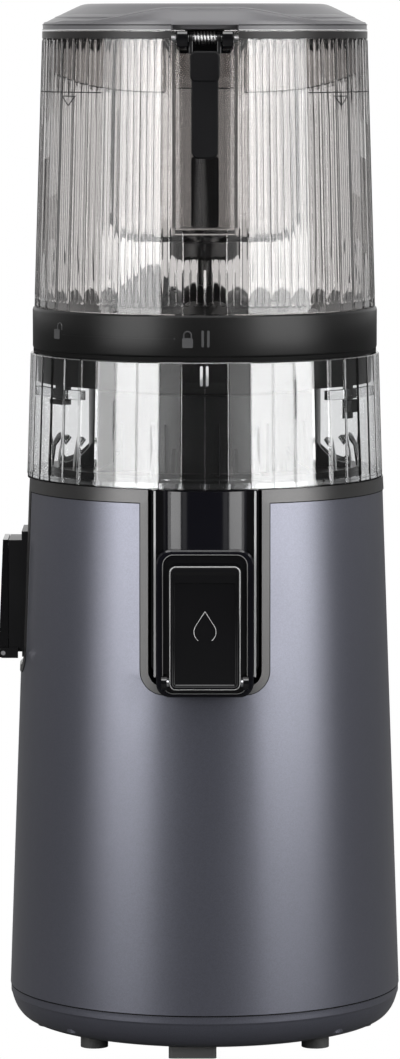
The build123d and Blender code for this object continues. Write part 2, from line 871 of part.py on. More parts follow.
with BuildPart() as juice_bowl:
    loft([fluted(bowl_foot_r, bowl_z), fluted(bowl_top_r, bowl_top_z)], ruled=True)
    loft(
        [flats(bowl_inner_foot_r, bowl_floor_z), flats(bowl_inner_top_r, bowl_top_z)],
        ruled=True,
        mode=Mode.SUBTRACT,
    )
    extrude(round_face(bowl_z, well_inner_r), amount=chamber_wall, mode=Mode.SUBTRACT)
    # walls over the duct up the inside of the bowl
    for x in (-1, 1):
        with BuildSketch(Plane.XY.offset(bowl_z)):
            with Locations((x * (duct_half_width - chamber_wall / 2), -(well_inner_r + rib_y) / 2)):
                Rectangle(chamber_wall, rib_y - well_inner_r)
        extrude(amount=lug_z - 3 - bowl_z)
    # catches of the twist lock
    for angle in lug_spots:
        catch = arc_block(catch_z, bowl_inner_top_r + 1, skirt_r + 1.5 * clearance, angle, lug_width_deg + 6)
        extrude(catch, amount=catch_height)

with BuildPart() as spout_body:
    extrude(round_face(well_z, well_outer_r), amount=well_depth)
    # duct from the well to the front
    extrude(u_shape(front, duct_half_width, duct_z, bowl_z, 4), amount=duct_y)
    extrude(round_face(well_floor_z, well_inner_r), amount=well_depth, mode=Mode.SUBTRACT)
    extrude(
        u_shape(front.offset(well_inner_r / 2), duct_half_width - chamber_wall, duct_floor_z, bowl_z, 2.5),
        amount=duct_y - well_inner_r / 2 - chamber_wall,
        mode=Mode.SUBTRACT,
    )
    # spout plate in front of the body, with its mouth and the ears of the cap
    with BuildSketch(front.offset(nozzle_y)):
        with Locations((0, nozzle_z + nozzle_height / 2)):
            RectangleRounded(2 * nozzle_half_width, nozzle_height, nozzle_corner_r)
    extrude(amount=nozzle_plate)
    extrude(
        block(front.offset(duct_y - 1), mouth_half_width + 3, duct_z + 1, mouth_top_z + 3),
        amount=nozzle_y - duct_y + 1,
    )
    extrude(
        block(front.offset(duct_y - 2 * chamber_wall), mouth_half_width, mouth_z, mouth_top_z),
        amount=20,
        mode=Mode.SUBTRACT,
    )
    for x in (-cap_half_width - clearance - ear_thickness, cap_half_width + clearance):
        with BuildSketch(side.offset(x)):
            with Locations((-cap_pin_y, cap_pin_z)):
                Circle(ear_r)
            with Locations(((-nozzle_front_y - cap_pin_y) / 2 + 0.5, cap_pin_z)):
                Rectangle(cap_pin_y - nozzle_front_y + 1, 2 * ear_r)
        extrude(amount=ear_thickness)
    with BuildSketch(side.offset(-cap_half_width - clearance - ear_thickness)):
        with Locations((-cap_pin_y, cap_pin_z)):
            Circle(cap_pin_r)
    extrude(amount=2 * (cap_half_width + clearance + ear_thickness), mode=Mode.SUBTRACT)
    # opening for the pulp spout
    extrude(
        block(left.offset(well_inner_r - 8), pulp_half_width, pulp_z, pulp_top_z),
        amount=20,
        mode=Mode.SUBTRACT,
    )
    # hub round the drive
    extrude(round_face(well_z, hub_r), amount=hub_height)
    extrude(round_face(well_z, hub_bore_r), amount=hub_height, mode=Mode.SUBTRACT)

with BuildPart() as bowl_seal:
    extrude(round_face(well_floor_z, hub_r + 3.5, hub_r), amount=3)

seat_skirt_r = strainer_r + 16
with BuildPart() as strainer_outer:
    extrude(round_face(strainer_z, strainer_r, strainer_r - strainer_wall), amount=strainer_height)
    extrude(round_face(bowl_floor_z, seat_skirt_r, strainer_r - 1), amount=2)
    # flared ribs round the foot of the basket, above the bowl's floor
    for k in range(rib_count):
        turn = 2 * pi * (k + 0.5) / rib_count
        upright = Plane((0, 0, bowl_floor_z + 2), x_dir=(cos(turn), sin(turn), 0), z_dir=(sin(turn), -cos(turn), 0))
        with BuildSketch(upright):
            with BuildLine():
                Polyline(
                    (strainer_r - 1, 0),
                    (strainer_r + 14, 0),
                    (strainer_r + 13, 1.5),
                    (strainer_r + 6, 4),
                    (strainer_r + 2, 8),
                    (strainer_r - 1, 12),
                    close=True,
                )
            make_face()
        extrude(amount=0.8, both=True)
    # the front stays open over the juice duct
    with BuildSketch(Plane.XY.offset(bowl_floor_z)):
        with Locations((0, -strainer_r - 20)):
            Rectangle(2 * (duct_half_width + 1), 40)
    extrude(amount=strainer_top_z - bowl_floor_z - 4, mode=Mode.SUBTRACT)
    # two staggered rows of slots
    for row in range(2):
        with BuildSketch(Plane.XY.offset(strainer_z + 52 + 33 * row)):
            with PolarLocations(strainer_r - strainer_wall / 2, slot_count, 180 * (row + 0.5) / slot_count):
                Rectangle(3 * strainer_wall, 1.4)
        extrude(amount=26 if row == 0 else 22, mode=Mode.SUBTRACT)
    extrude(
        block(left.offset(strainer_r - 8), pulp_half_width - pulp_wall, pulp_z + pulp_wall, pulp_top_z - pulp_wall),
        amount=20,
        mode=Mode.SUBTRACT,
    )

inner_r = strainer_r - strainer_wall - strainer_gap
with BuildPart() as strainer_inner:
    extrude(round_face(strainer_z, inner_r, inner_r - strainer_wall), amount=strainer_height - 4)
    with BuildSketch(Plane.XY.offset(strainer_z + 50)):
        with PolarLocations(inner_r - strainer_wall / 2, slot_count, 90 / slot_count):
            Rectangle(3 * strainer_wall, 1.0)
    extrude(amount=62, mode=Mode.SUBTRACT)
    extrude(
        block(left.offset(inner_r - 8), pulp_half_width - pulp_wall, pulp_z + pulp_wall, pulp_top_z - pulp_wall),
        amount=20,
        mode=Mode.SUBTRACT,
    )

pulp_cap_pin_x = pulp_end_x + clearance + pulp_cap_depth / 2
pulp_cap_z = pulp_z - 2.6
pulp_cap_pin_z = pulp_cap_z + pulp_cap_depth / 2
pulp_ear_r = pulp_cap_depth / 2
pulp_cap_half_width = pulp_half_width - clearance
with BuildPart() as pulp_spout:
    extrude(
        block(left.offset(strainer_r + 0.3), pulp_half_width, pulp_z, pulp_top_z),
        amount=pulp_end_x - strainer_r - 0.3,
    )
    extrude(
        block(
            left.offset(pulp_flange_x),
            pulp_half_width + pulp_flange_lip,
            pulp_z - pulp_flange_lip,
            pulp_top_z + pulp_flange_top_lip,
        ),
        amount=pulp_flange,
    )
    extrude(
        block(left.offset(strainer_r - 5), pulp_half_width - pulp_wall, pulp_z + pulp_wall, pulp_top_z - pulp_wall),
        amount=60,
        mode=Mode.SUBTRACT,
    )
    # the end inside the basket follows its round wall
    extrude(round_face(pulp_z, strainer_r + running_fit), amount=pulp_height, mode=Mode.SUBTRACT)
    for y in (-pulp_half_width - 2, pulp_half_width):
        with BuildSketch(front.offset(-y - 2)):
            with Locations((-pulp_cap_pin_x, pulp_cap_pin_z)):
                Circle(pulp_ear_r)
            with Locations((-(pulp_cap_pin_x + pulp_end_x) / 2 + 2, pulp_cap_pin_z)):
                Rectangle(pulp_cap_pin_x - pulp_end_x + 4, 2 * pulp_ear_r)
        extrude(amount=2)
    with BuildSketch(front.offset(-pulp_half_width - 2)):
        with Locations((-pulp_cap_pin_x, pulp_cap_pin_z)):
            Circle(pulp_pin_r)
    extrude(amount=2 * pulp_half_width + 4, mode=Mode.SUBTRACT)

with BuildPart() as juice_cap_pin:
    with BuildSketch(side.offset(-cap_half_width - clearance - ear_thickness)):
        with Locations((-cap_pin_y, cap_pin_z)):
            Circle(cap_pin_r)
    extrude(amount=2 * (cap_half_width + clearance + ear_thickness))

with BuildPart() as pulp_cap_pin:
    with BuildSketch(front.offset(-pulp_half_width - 2)):
        with Locations((-pulp_cap_pin_x, pulp_cap_pin_z)):
            Circle(pulp_pin_r)
    extrude(amount=2 * pulp_half_width + 4)

# ---------------------------------------------------------------- caps
plug_width = 2 * mouth_half_width - 2 * plug_gap
plug_height = mouth_height - 2 * plug_gap
plug_z = mouth_z + mouth_height / 2 + plug_gap / 2

with BuildPart() as juice_cap:
    with BuildSketch(front.offset(nozzle_front_y + clearance)):
        with Locations((0, cap_z + cap_height / 2)):
            RectangleRounded(2 * cap_half_width, cap_height, cap_corner_r)
    extrude(amount=cap_depth)
    with BuildSketch(front.offset(nozzle_front_y + clearance)):
        with Locations((0, plug_z)):
            RectangleRounded(plug_width, plug_height, plug_corner_r)
    extrude(amount=cap_depth - cap_face, mode=Mode.SUBTRACT)
    chamfer(juice_cap.faces().sort_by(Axis.Y)[0].edges(), 1.1)
    # the foot is rounded about the pin, so that the cap clears the spout plate as it swings
    with BuildSketch(side.offset(-cap_half_width)):
        Polygon(
            (-nozzle_front_y, cap_pin_z),
            (-nozzle_front_y, cap_z - 1),
            (-cap_pin_y, cap_z - 1),
            (-cap_pin_y, cap_pin_z),
            align=None,
        )
        with Locations((-cap_pin_y, cap_pin_z)):
            Circle(cap_depth / 2, mode=Mode.SUBTRACT)
    extrude(amount=2 * cap_half_width, mode=Mode.SUBTRACT)
    with BuildSketch(side.offset(-cap_half_width)):
        with Locations((-cap_pin_y, cap_pin_z)):
            Circle(cap_pin_r + running_fit)
    extrude(amount=2 * cap_half_width, mode=Mode.SUBTRACT)

with BuildPart() as juice_cap_seal:
    with BuildSketch(front.offset(nozzle_front_y + clearance + cap_depth - cap_face)):
        with Locations((0, plug_z)):
            RectangleRounded(plug_width, plug_height, plug_corner_r)
    extrude(amount=-cap_depth)
    with BuildSketch(front.offset(nozzle_front_y + clearance + cap_depth - cap_face - plug_wall)):
        with Locations((0, plug_z)):
            RectangleRounded(plug_width - 2 * plug_wall, plug_height - 2 * plug_wall, plug_corner_r / 2)
    extrude(amount=-cap_depth, mode=Mode.SUBTRACT)

pulp_cap_x = pulp_end_x + clearance
with BuildPart() as pulp_cap:
    extrude(
        outline(
            front.offset(-pulp_cap_half_width),
            (-pulp_cap_x, pulp_cap_z),
            (-pulp_cap_x - pulp_cap_depth, pulp_cap_z),
            (-pulp_cap_x - pulp_cap_top_depth, pulp_cap_z + pulp_cap_height),
            (-pulp_cap_x, pulp_cap_z + pulp_cap_height),
        ),
        amount=2 * pulp_cap_half_width,
    )
    with BuildSketch(front.offset(-pulp_cap_half_width)):
        Polygon(
            (-pulp_cap_x, pulp_cap_pin_z),
            (-pulp_cap_x, pulp_cap_z - 1),
            (-pulp_cap_pin_x, pulp_cap_z - 1),
            (-pulp_cap_pin_x, pulp_cap_pin_z),
            align=None,
        )
        with Locations((-pulp_cap_pin_x, pulp_cap_pin_z)):
            Circle(pulp_cap_depth / 2, mode=Mode.SUBTRACT)
    extrude(amount=2 * pulp_cap_half_width, mode=Mode.SUBTRACT)
    with BuildSketch(front.offset(-pulp_cap_half_width)):
        with Locations((-pulp_cap_pin_x, pulp_cap_pin_z)):
            Circle(pulp_pin_r + running_fit)
    extrude(amount=2 * pulp_cap_half_width, mode=Mode.SUBTRACT)

with BuildPart() as pulp_cap_seal:
    with BuildSketch(left.offset(pulp_cap_x)):
        with Locations((0, pulp_z + pulp_height / 2 + 1)):
            RectangleRounded(2 * (pulp_half_width - pulp_wall) - 1, pulp_height - 2 * pulp_wall - 3, 2)
            RectangleRounded(
                2 * (pulp_half_width - pulp_wall) - 6, pulp_height - 2 * pulp_wall - 8, 1, mode=Mode.SUBTRACT
            )
    extrude(amount=-2.2)

# ---------------------------------------------------------------- auger
bore_r = inner_r - strainer_wall
flight_r = bore_r - flight_gap
auger_z = well_floor_z + 3.6
auger_top_z = strainer_top_z - 1
recess_top_z = well_z + hub_height + clearance
core_z = well_z + 3
cutter_top_z = auger_top_z + cutter_height

with BuildPart() as auger_core:
    extrude(round_face(core_z, core_r), amount=core_height)
    with BuildSketch(Plane.XY.offset(core_z)):
        RegularPolygon(hex_flats / 2 + hex_fit, 6, major_radius=False)
    extrude(amount=hex_z + hex_height + 1 - core_z, mode=Mode.SUBTRACT)

flight_z = auger_z + 10
flight_height = flight_pitch * flight_turns
with BuildPart() as auger_lower:
    revolve(
        turned(
            (0, auger_z),
            (flight_r - 4, auger_z),
            (auger_foot_r, auger_z + 12),
            (auger_neck_r, auger_top_z),
            (0, auger_top_z),
        ),
        axis=Axis.Z,
    )
    with BuildLine():
        flight_path = Helix(flight_pitch, flight_height, (flight_r + auger_neck_r) / 2, center=(0, 0, flight_z))
    reach = (flight_r - auger_neck_r) / 2
    with BuildSketch(Plane(origin=flight_path @ 0, x_dir=(1, 0, 0), z_dir=flight_path % 0)):
        with BuildLine():
            Polyline(
                (-reach - 3, -flight_root / 2),
                (reach, -flight_tip / 2),
                (reach, flight_tip / 2),
                (-reach - 3, flight_root / 2),
                close=True,
            )
        make_face()
    sweep(path=flight_path, is_frenet=True)
    extrude(round_face(auger_z - 5, hub_r + 2 * clearance), amount=recess_top_z - auger_z + 5, mode=Mode.SUBTRACT)
    extrude(round_face(auger_z - 5, core_r), amount=core_z + core_height - auger_z + 5, mode=Mode.SUBTRACT)

with BuildPart() as auger_upper:
    revolve(
        turned(
            (0, auger_top_z),
            (auger_neck_r, auger_top_z),
            (cutter_r, cutter_top_z - 7),
            (top_shaft_r + 3, cutter_top_z),
            (top_shaft_r, cutter_top_z),
            (top_shaft_r, cutter_top_z + top_shaft_height),
            (0, cutter_top_z + top_shaft_height),
        ),
        axis=Axis.Z,
    )
    # wing that cuts and pulls the food down into the throat
    extrude(
        outline(
            front.offset(-wing_thickness / 2),
            (-cutter_r + 5, auger_top_z + 16),
            (-wing_reach, auger_top_z + 24),
            (-wing_reach + 3, cutter_top_z - 5),
            (-cutter_r - 6, cutter_top_z + wing_rise - 2),
            (-cutter_r, cutter_top_z + wing_rise),
            (-cutter_r + 5, cutter_top_z),
            (-cutter_r + 9, cutter_top_z - 6),
        ),
        amount=wing_thickness,
    )

# ================================================================ hopper
web_z = hopper_z + 32
channel_z = hopper_top_z - channel_height
latch_pin_z = hopper_top_z - latch_pin_drop
channel_back_y = hopper_top_r - channel_depth
hinge_z = hopper_top_z - hinge_drop
guide_top_z = hopper_z + guide_floor_height + guide_height
guide_floor_z = hopper_z + guide_floor_height
flute_z = hopper_z + 1.5
band_z = hopper_top_z - hopper_band

with BuildPart() as hopper_collar:
    revolve(
        turned(
            (skirt_r, bowl_top_z + clearance),
            (bowl_top_r - 2, bowl_top_z + clearance),
            (bowl_top_r - 2, collar_z),
            (collar_r, collar_z),
            (collar_r, hopper_z),
            (hopper_foot_r - hopper_wall - 0.6, hopper_z),
            (throat_r, hopper_z - funnel_drop),
            (throat_r, strainer_top_z + 1),
            (throat_r + throat_wall, strainer_top_z + 1),
            (throat_r + throat_wall, hopper_z - funnel_drop - 2),
            (skirt_r - skirt_wall, hopper_z - funnel_drop - 2),
            (skirt_r - skirt_wall, bowl_top_z - skirt_drop),
            (skirt_r, bowl_top_z - skirt_drop),
        ),
        axis=Axis.Z,
    )
    for angle in lug_spots:
        lug = arc_block(lug_z, bowl_inner_top_r - clearance, skirt_r - skirt_wall, angle, lug_width_deg)
        extrude(lug, amount=lug_height)
        extrude(
            arc_block(lug_z, skirt_r, skirt_r - skirt_wall, angle, lug_width_deg + 8),
            amount=bowl_top_z - skirt_drop - lug_z,
        )

with BuildPart() as hopper_inside:
    loft(
        [flats(hopper_foot_r - hopper_wall, hopper_z), flats(hopper_top_r - hopper_wall, hopper_top_z)],
        ruled=True,
    )

with BuildPart() as hopper:
    loft([fluted(hopper_foot_r, flute_z), fluted(hopper_top_r, band_z)], ruled=True)
    extrude(round_face(hopper_z, hopper_foot_r), amount=flute_z - hopper_z)
    extrude(round_face(band_z, hopper_top_r + 0.2), amount=hopper_band)
    # hinge ears at the rear and the latch channel at the front
    for x in (-hinge_half_width, knuckle_half_width + clearance):
        with BuildSketch(side.offset(x)):
            with Locations((hinge_y, hinge_z)):
                Circle(hinge_r)
            Polygon(
                (hopper_top_r - 1, hinge_z + 1),
                (hinge_y, hinge_z + 1),
                (hinge_y + 2, hinge_z - hinge_r),
                (hopper_top_r - 1, hinge_z - 4 * hinge_r),
                align=None,
            )
        extrude(amount=hinge_half_width - knuckle_half_width - clearance)
    add(hopper_inside.part, mode=Mode.SUBTRACT)
    extrude(flats(hopper_top_r - hopper_wall, hopper_top_z), amount=lid_height, mode=Mode.SUBTRACT)
    with BuildSketch(Plane.XY.offset(channel_z)):
        with Locations((0, -(hopper_top_r + channel_back_y) / 2 + 1)):
            Rectangle(2 * channel_half_width, channel_depth + 2 - 1)
    extrude(amount=channel_height)
    with BuildSketch(Plane.XY.offset(channel_z + channel_wall)):
        with Locations((0, -channel_back_y - channel_depth)):
            Rectangle(2 * (channel_half_width - channel_wall), 2 * channel_depth)
    extrude(amount=channel_height, mode=Mode.SUBTRACT)
    for x in (-channel_half_width + channel_wall, channel_half_width - channel_wall - latch_ear_width):
        with BuildSketch(side.offset(x)):
            with Locations((-latch_pin_y, latch_pin_z)):
                Circle(latch_ear_r)
            with Locations((-(latch_pin_y + channel_back_y) / 2, latch_pin_z - latch_ear_r / 2)):
                Rectangle(latch_pin_y - channel_back_y + 1, latch_ear_r)
        extrude(amount=latch_ear_width)
    with BuildSketch(side.offset(-channel_half_width)):
        with Locations((-latch_pin_y, latch_pin_z)):
            Circle(latch_pin_r)
    extrude(amount=2 * channel_half_width, mode=Mode.SUBTRACT)
    with BuildSketch(side.offset(-hinge_half_width)):
        with Locations((hinge_y, hinge_z)):
            Circle(hinge_pin_r)
    extrude(amount=2 * hinge_half_width, mode=Mode.SUBTRACT)

with BuildPart() as feed_guide:
    revolve(
        turned(
            (0, guide_floor_z),
            (guide_r - guide_corner_r, guide_floor_z),
            (guide_r - 0.3 * guide_corner_r, guide_floor_z + 0.3 * guide_corner_r),
            (guide_r, guide_floor_z + guide_corner_r),
            (guide_r, guide_top_z),
            (guide_r - guide_wall, guide_top_z),
            (guide_r - guide_wall, guide_floor_z + guide_corner_r + 1),
            (guide_r - 0.3 * guide_corner_r - guide_wall, guide_floor_z + 0.3 * guide_corner_r + 1.5),
            (guide_r - guide_corner_r, guide_floor_z + guide_floor),
            (0, guide_floor_z + guide_floor),
        ),
        axis=Axis.Z,
    )
    with BuildSketch(Plane.XY.offset(guide_floor_z)):
        with Locations((0, -guide_r)):
            Rectangle(2 * guide_r + 2, 2 * guide_r)
    extrude(amount=guide_height + 1, mode=Mode.SUBTRACT)
    extrude(round_face(guide_floor_z, knob_r + 4), amount=guide_floor)
    for x in (-guide_r, guide_r - guide_wall):
        with BuildSketch(Plane.XY.offset(web_z + 8)):
            with Locations((x + guide_wall / 2, 20)):
                Rectangle(guide_wall, 2 * 36)
        extrude(amount=web_height)
    add(hopper_inside.part, mode=Mode.INTERSECT)
    extrude(round_face(guide_floor_z, knob_neck_r), amount=guide_floor, mode=Mode.SUBTRACT)

knob_z = guide_floor_z - knob_drop
with BuildPart() as bearing_cap:
    revolve(
        turned(
            (0, knob_z),
            (knob_r - 1.5, knob_z),
            (knob_r, knob_z + 1.5),
            (knob_r, guide_floor_z),
            (knob_neck_r, guide_floor_z),
            (knob_neck_r, guide_floor_z + guide_floor + knob_ring_height),
            (0, guide_floor_z + guide_floor + knob_ring_height),
        ),
        axis=Axis.Z,
    )
    extrude(
        round_face(knob_z, top_shaft_r + 2 * running_fit),
        amount=cutter_top_z + top_shaft_height + clearance - knob_z,
        mode=Mode.SUBTRACT,
    )

with BuildPart() as bearing_ring:
    revolve(
        turned(
            (knob_neck_r, guide_floor_z + guide_floor),
            (knob_r, guide_floor_z + guide_floor),
            (knob_r - 1.5, guide_floor_z + guide_floor + knob_ring_height),
            (knob_neck_r, guide_floor_z + guide_floor + knob_ring_height),
        ),
        axis=Axis.Z,
    )

with BuildPart() as latch_pin:
    with BuildSketch(side.offset(-channel_half_width + 0.2)):
        with Locations((-latch_pin_y, latch_pin_z)):
            Circle(latch_pin_r)
    extrude(amount=2 * channel_half_width - 0.4)

with BuildPart() as lid_hinge_pin:
    with BuildSketch(side.offset(-hinge_half_width)):
        with Locations((hinge_y, hinge_z)):
            Circle(hinge_pin_r)
    extrude(amount=2 * hinge_half_width)

lug_outer = channel_half_width - channel_wall - latch_ear_width - clearance
spring_half = lug_outer - lug_thickness - clearance
with BuildPart() as latch_spring:
    with BuildSketch(side.offset(-spring_half)):
        with Locations((-latch_pin_y, latch_pin_z)):
            Circle(latch_pin_r + 1.1)
    extrude(amount=2 * spring_half)
    with BuildSketch(side.offset(-spring_half)):
        with Locations((-latch_pin_y, latch_pin_z)):
            Circle(latch_pin_r)
    extrude(amount=2 * spring_half, mode=Mode.SUBTRACT)

# ---------------------------------------------------------------- latch lever
lever_y = latch_pin_y + 1
lever_z = latch_pin_z - lever_length
with BuildPart() as latch_lever:
    with BuildSketch(front.offset(lever_y)):
        with Locations((0, lever_z + lever_length / 2 - 3)):
            RectangleRounded(2 * lever_half_width, lever_length - 6, 3)
        with Locations((0, latch_pin_z - 6 - lever_head_length / 2 + 0.5)):
            RectangleRounded(2 * lever_head_half_width, lever_head_length, 2.5)
    extrude(amount=lever_thickness)
    for x in (-lug_outer, lug_outer - lug_thickness):
        with BuildSketch(side.offset(x)):
            with Locations((-latch_pin_y, latch_pin_z)):
                Circle(latch_pin_r + lug_rim)
            with Locations((-lever_y - 0.5, latch_pin_z - 4)):
                Rectangle(3, 8)
        extrude(amount=lug_thickness)
    with BuildSketch(side.offset(-lug_outer)):
        with Locations((-latch_pin_y, latch_pin_z)):
            Circle(latch_pin_r + running_fit)
    extrude(amount=2 * lug_outer, mode=Mode.SUBTRACT)

# ================================================================ lid
lid_rim_z = hopper_top_z + clearance
with BuildPart() as lid_tab:
    extrude(
        outline(
            front.offset(lid_plateau_r / 2),
            (-tab_spread, lid_rim_z + lid_rim_height),
            (-tab_spread * 0.66, lid_rim_z + lid_rim_height + 2.5),
            (-tab_half_width - 6, lid_top_z - 1.4),
            (-tab_half_width, lid_top_z),
            (tab_half_width, lid_top_z),
            (tab_half_width + 6, lid_top_z - 1.4),
            (tab_spread * 0.66, lid_rim_z + lid_rim_height + 2.5),
            (tab_spread, lid_rim_z + lid_rim_height),
        ),
        amount=lid_r,
    )
    extrude(round_face(hopper_top_z, lid_r), amount=lid_height, mode=Mode.INTERSECT)

with BuildPart() as lid:
    revolve(
        turned(
            (0, lid_top_z),
            (lid_plateau_r, lid_top_z),
            (lid_r, lid_rim_z + lid_rim_height),
            (lid_r, lid_rim_z),
            (0, lid_rim_z),
        ),
        axis=Axis.Z,
    )
    add(lid_tab.part)
    revolve(
        turned(
            (0, lid_top_z - lid_wall),
            (lid_plateau_r, lid_top_z - lid_wall),
            (lid_plateau_r, lid_rim_z + lid_rim_height - 0.8),
            (lid_r - lid_wall, lid_rim_z + lid_rim_height - 0.8),
            (lid_r - lid_wall, lid_rim_z),
            (0, lid_rim_z),
        ),
        axis=Axis.Z,
        mode=Mode.SUBTRACT,
    )
    # notch over the latch
    extrude(
        block(front.offset(lid_skirt_r - 1), channel_half_width, lid_rim_z - 1, lid_rim_z + lid_rim_height),
        amount=20,
        mode=Mode.SUBTRACT,
    )
    # ring that carries the clear skirt
    extrude(
        round_face(lid_rim_z + 0.6, lid_skirt_r, lid_skirt_r - lid_skirt_wall - 1.5), amount=lid_rim_height + 1.6
    )
    extrude(
        block(front.offset(lid_skirt_r - 12), lid_gap_half_width, lid_rim_z, lid_rim_z + lid_rim_height - 0.4),
        amount=12 + 1.5 * seal_width,
        mode=Mode.SUBTRACT,
    )
    # hinge arm and knuckle at the rear
    with BuildSketch(side.offset(-knuckle_half_width)):
        with Locations((hinge_y, hinge_z)):
            Circle(hinge_r)
        Polygon(
            (lid_r - 2, lid_rim_z + 0.5),
            (lid_r - 2, lid_rim_z + lid_rim_height),
            (hinge_y, hinge_z + hinge_r),
            (hinge_y, hinge_z),
            (hinge_y - 3, hinge_z),
            (hopper_top_r + 1, lid_rim_z + 0.5),
            align=None,
        )
    extrude(amount=2 * knuckle_half_width)
    with BuildSketch(side.offset(-knuckle_half_width)):
        with Locations((hinge_y, hinge_z)):
            Circle(hinge_pin_r + running_fit)
    extrude(amount=2 * knuckle_half_width, mode=Mode.SUBTRACT)

with BuildPart() as lid_skirt:
    extrude(round_face(lid_rim_z + 0.6 - lid_skirt_drop, lid_skirt_r, lid_skirt_r - lid_skirt_wall), amount=lid_skirt_drop)
    with BuildSketch(Plane.XY.offset(hopper_top_z - lid_skirt_drop - 1)):
        with Locations((0, -lid_skirt_r)):
            Rectangle(2 * lid_gap_half_width, 30)
    extrude(amount=lid_skirt_drop + 4, mode=Mode.SUBTRACT)

with BuildPart() as lid_seal:
    extrude(round_face(lid_rim_z + 0.9, lid_skirt_r + seal_width, lid_skirt_r), amount=1.2)
    extrude(
        block(front.offset(lid_skirt_r - 12), lid_gap_half_width, lid_rim_z, lid_top_z),
        amount=20,
        mode=Mode.SUBTRACT,
    )

# ================================================================ hand over
pieces = {
    "body_shell": body_shell,
    "body_trim": body_trim,
    "chamber_seat": chamber_seat,
    "base_cover": base_cover,
    "round_feet": round_feet,
    "front_foot": front_foot,
    "motor_housing": motor_housing,
    "stator": stator,
    "motor_bearings": motor_bearings,
    "motor_end_plate": motor_end_plate,
    "gearbox_case": gearbox_case,
    "gearbox_lid": gearbox_cover,
    "output_bearing": output_bearing,
    "shaft_seal": shaft_seal,
    "idler_pin": idler_pin,
    "gearbox_dampers": gearbox_dampers,
    "control_board": control_board,
    "interlock_sensor": interlock_sensor,
    "switch_housing": switch_housing,
    "cord_gland": cord_gland,
    "base_screws": base_screws,
    "gearbox_screws": gearbox_screws,
    "rotor": rotor,
    "motor_shaft": motor_shaft,
    "cooling_fan": cooling_fan,
    "motor_pinion": motor_pinion,
    "idler_gear": idler_gear,
    "output_gear": output_gear,
    "drive_shaft": drive_shaft,
    "power_rocker": power_rocker,
    "juice_bowl": juice_bowl,
    "spout_body": spout_body,
    "bowl_seal": bowl_seal,
    "strainer_outer": strainer_outer,
    "strainer_inner": strainer_inner,
    "pulp_spout": pulp_spout,
    "juice_cap_pin": juice_cap_pin,
    "pulp_cap_pin": pulp_cap_pin,
    "juice_cap": juice_cap,
    "juice_cap_seal": juice_cap_seal,
    "pulp_cap": pulp_cap,
    "pulp_cap_seal": pulp_cap_seal,
    "auger_lower": auger_lower,
    "auger_upper": auger_upper,
    "auger_core": auger_core,
    "hopper": hopper,
    "hopper_collar": hopper_collar,
    "feed_guide": feed_guide,
    "bearing_cap": bearing_cap,
    "bearing_ring": bearing_ring,
    "latch_pin": latch_pin,
    "latch_spring": latch_spring,
    "lid_hinge_pin": lid_hinge_pin,
    "lid": lid,
    "lid_skirt": lid_skirt,
    "lid_seal": lid_seal,
    "latch_lever": latch_lever,
}
for name, piece in pieces.items():
    piece.part.label = name
    export_step(piece.part, f"parts/{name}.step")
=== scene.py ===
import bpy
import bmesh
import json
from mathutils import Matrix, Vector
import numpy as np


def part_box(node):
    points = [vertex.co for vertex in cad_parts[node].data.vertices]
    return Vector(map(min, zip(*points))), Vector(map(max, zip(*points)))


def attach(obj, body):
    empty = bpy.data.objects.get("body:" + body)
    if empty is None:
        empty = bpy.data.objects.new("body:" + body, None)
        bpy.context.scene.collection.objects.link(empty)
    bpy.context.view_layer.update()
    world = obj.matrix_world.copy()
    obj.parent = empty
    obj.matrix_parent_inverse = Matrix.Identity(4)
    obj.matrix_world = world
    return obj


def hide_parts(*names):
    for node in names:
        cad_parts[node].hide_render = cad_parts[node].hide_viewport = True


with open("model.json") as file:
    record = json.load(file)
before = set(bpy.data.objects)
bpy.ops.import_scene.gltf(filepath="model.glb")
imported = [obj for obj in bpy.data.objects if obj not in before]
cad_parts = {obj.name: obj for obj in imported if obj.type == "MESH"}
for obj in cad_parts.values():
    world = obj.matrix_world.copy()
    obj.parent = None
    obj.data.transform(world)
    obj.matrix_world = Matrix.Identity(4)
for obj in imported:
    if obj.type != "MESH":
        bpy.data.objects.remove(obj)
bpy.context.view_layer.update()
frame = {"nodes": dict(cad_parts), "record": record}
print("frame loaded with", len(frame["nodes"]), "nodes")

# sizes are millimetres and degrees, heights count from the worktop; the meshes are written in metres
mm = 0.001
weld = {"merge": 2e-6, "shortest": 1e-7}        # metres: closer points become one, shorter edges are dissolved


def boxOf(node):
    # lowest and highest corner of a node in millimetres
    low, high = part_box(node)
    return np.array(low) / mm, np.array(high) / mm


# surfaces from grids of points

def gridFaces(rows, cols, wrapRows=False, wrapCols=False):
    # each face joins a point to its neighbours; a wrapped side joins its last row to its first
    number = np.arange(rows * cols).reshape(rows, cols)
    if wrapRows:
        number = np.vstack([number, number[:1]])
    if wrapCols:
        number = np.hstack([number, number[:, :1]])
    return np.stack([number[:-1, :-1], number[1:, :-1], number[1:, 1:], number[:-1, 1:]], -1).reshape(-1, 4)


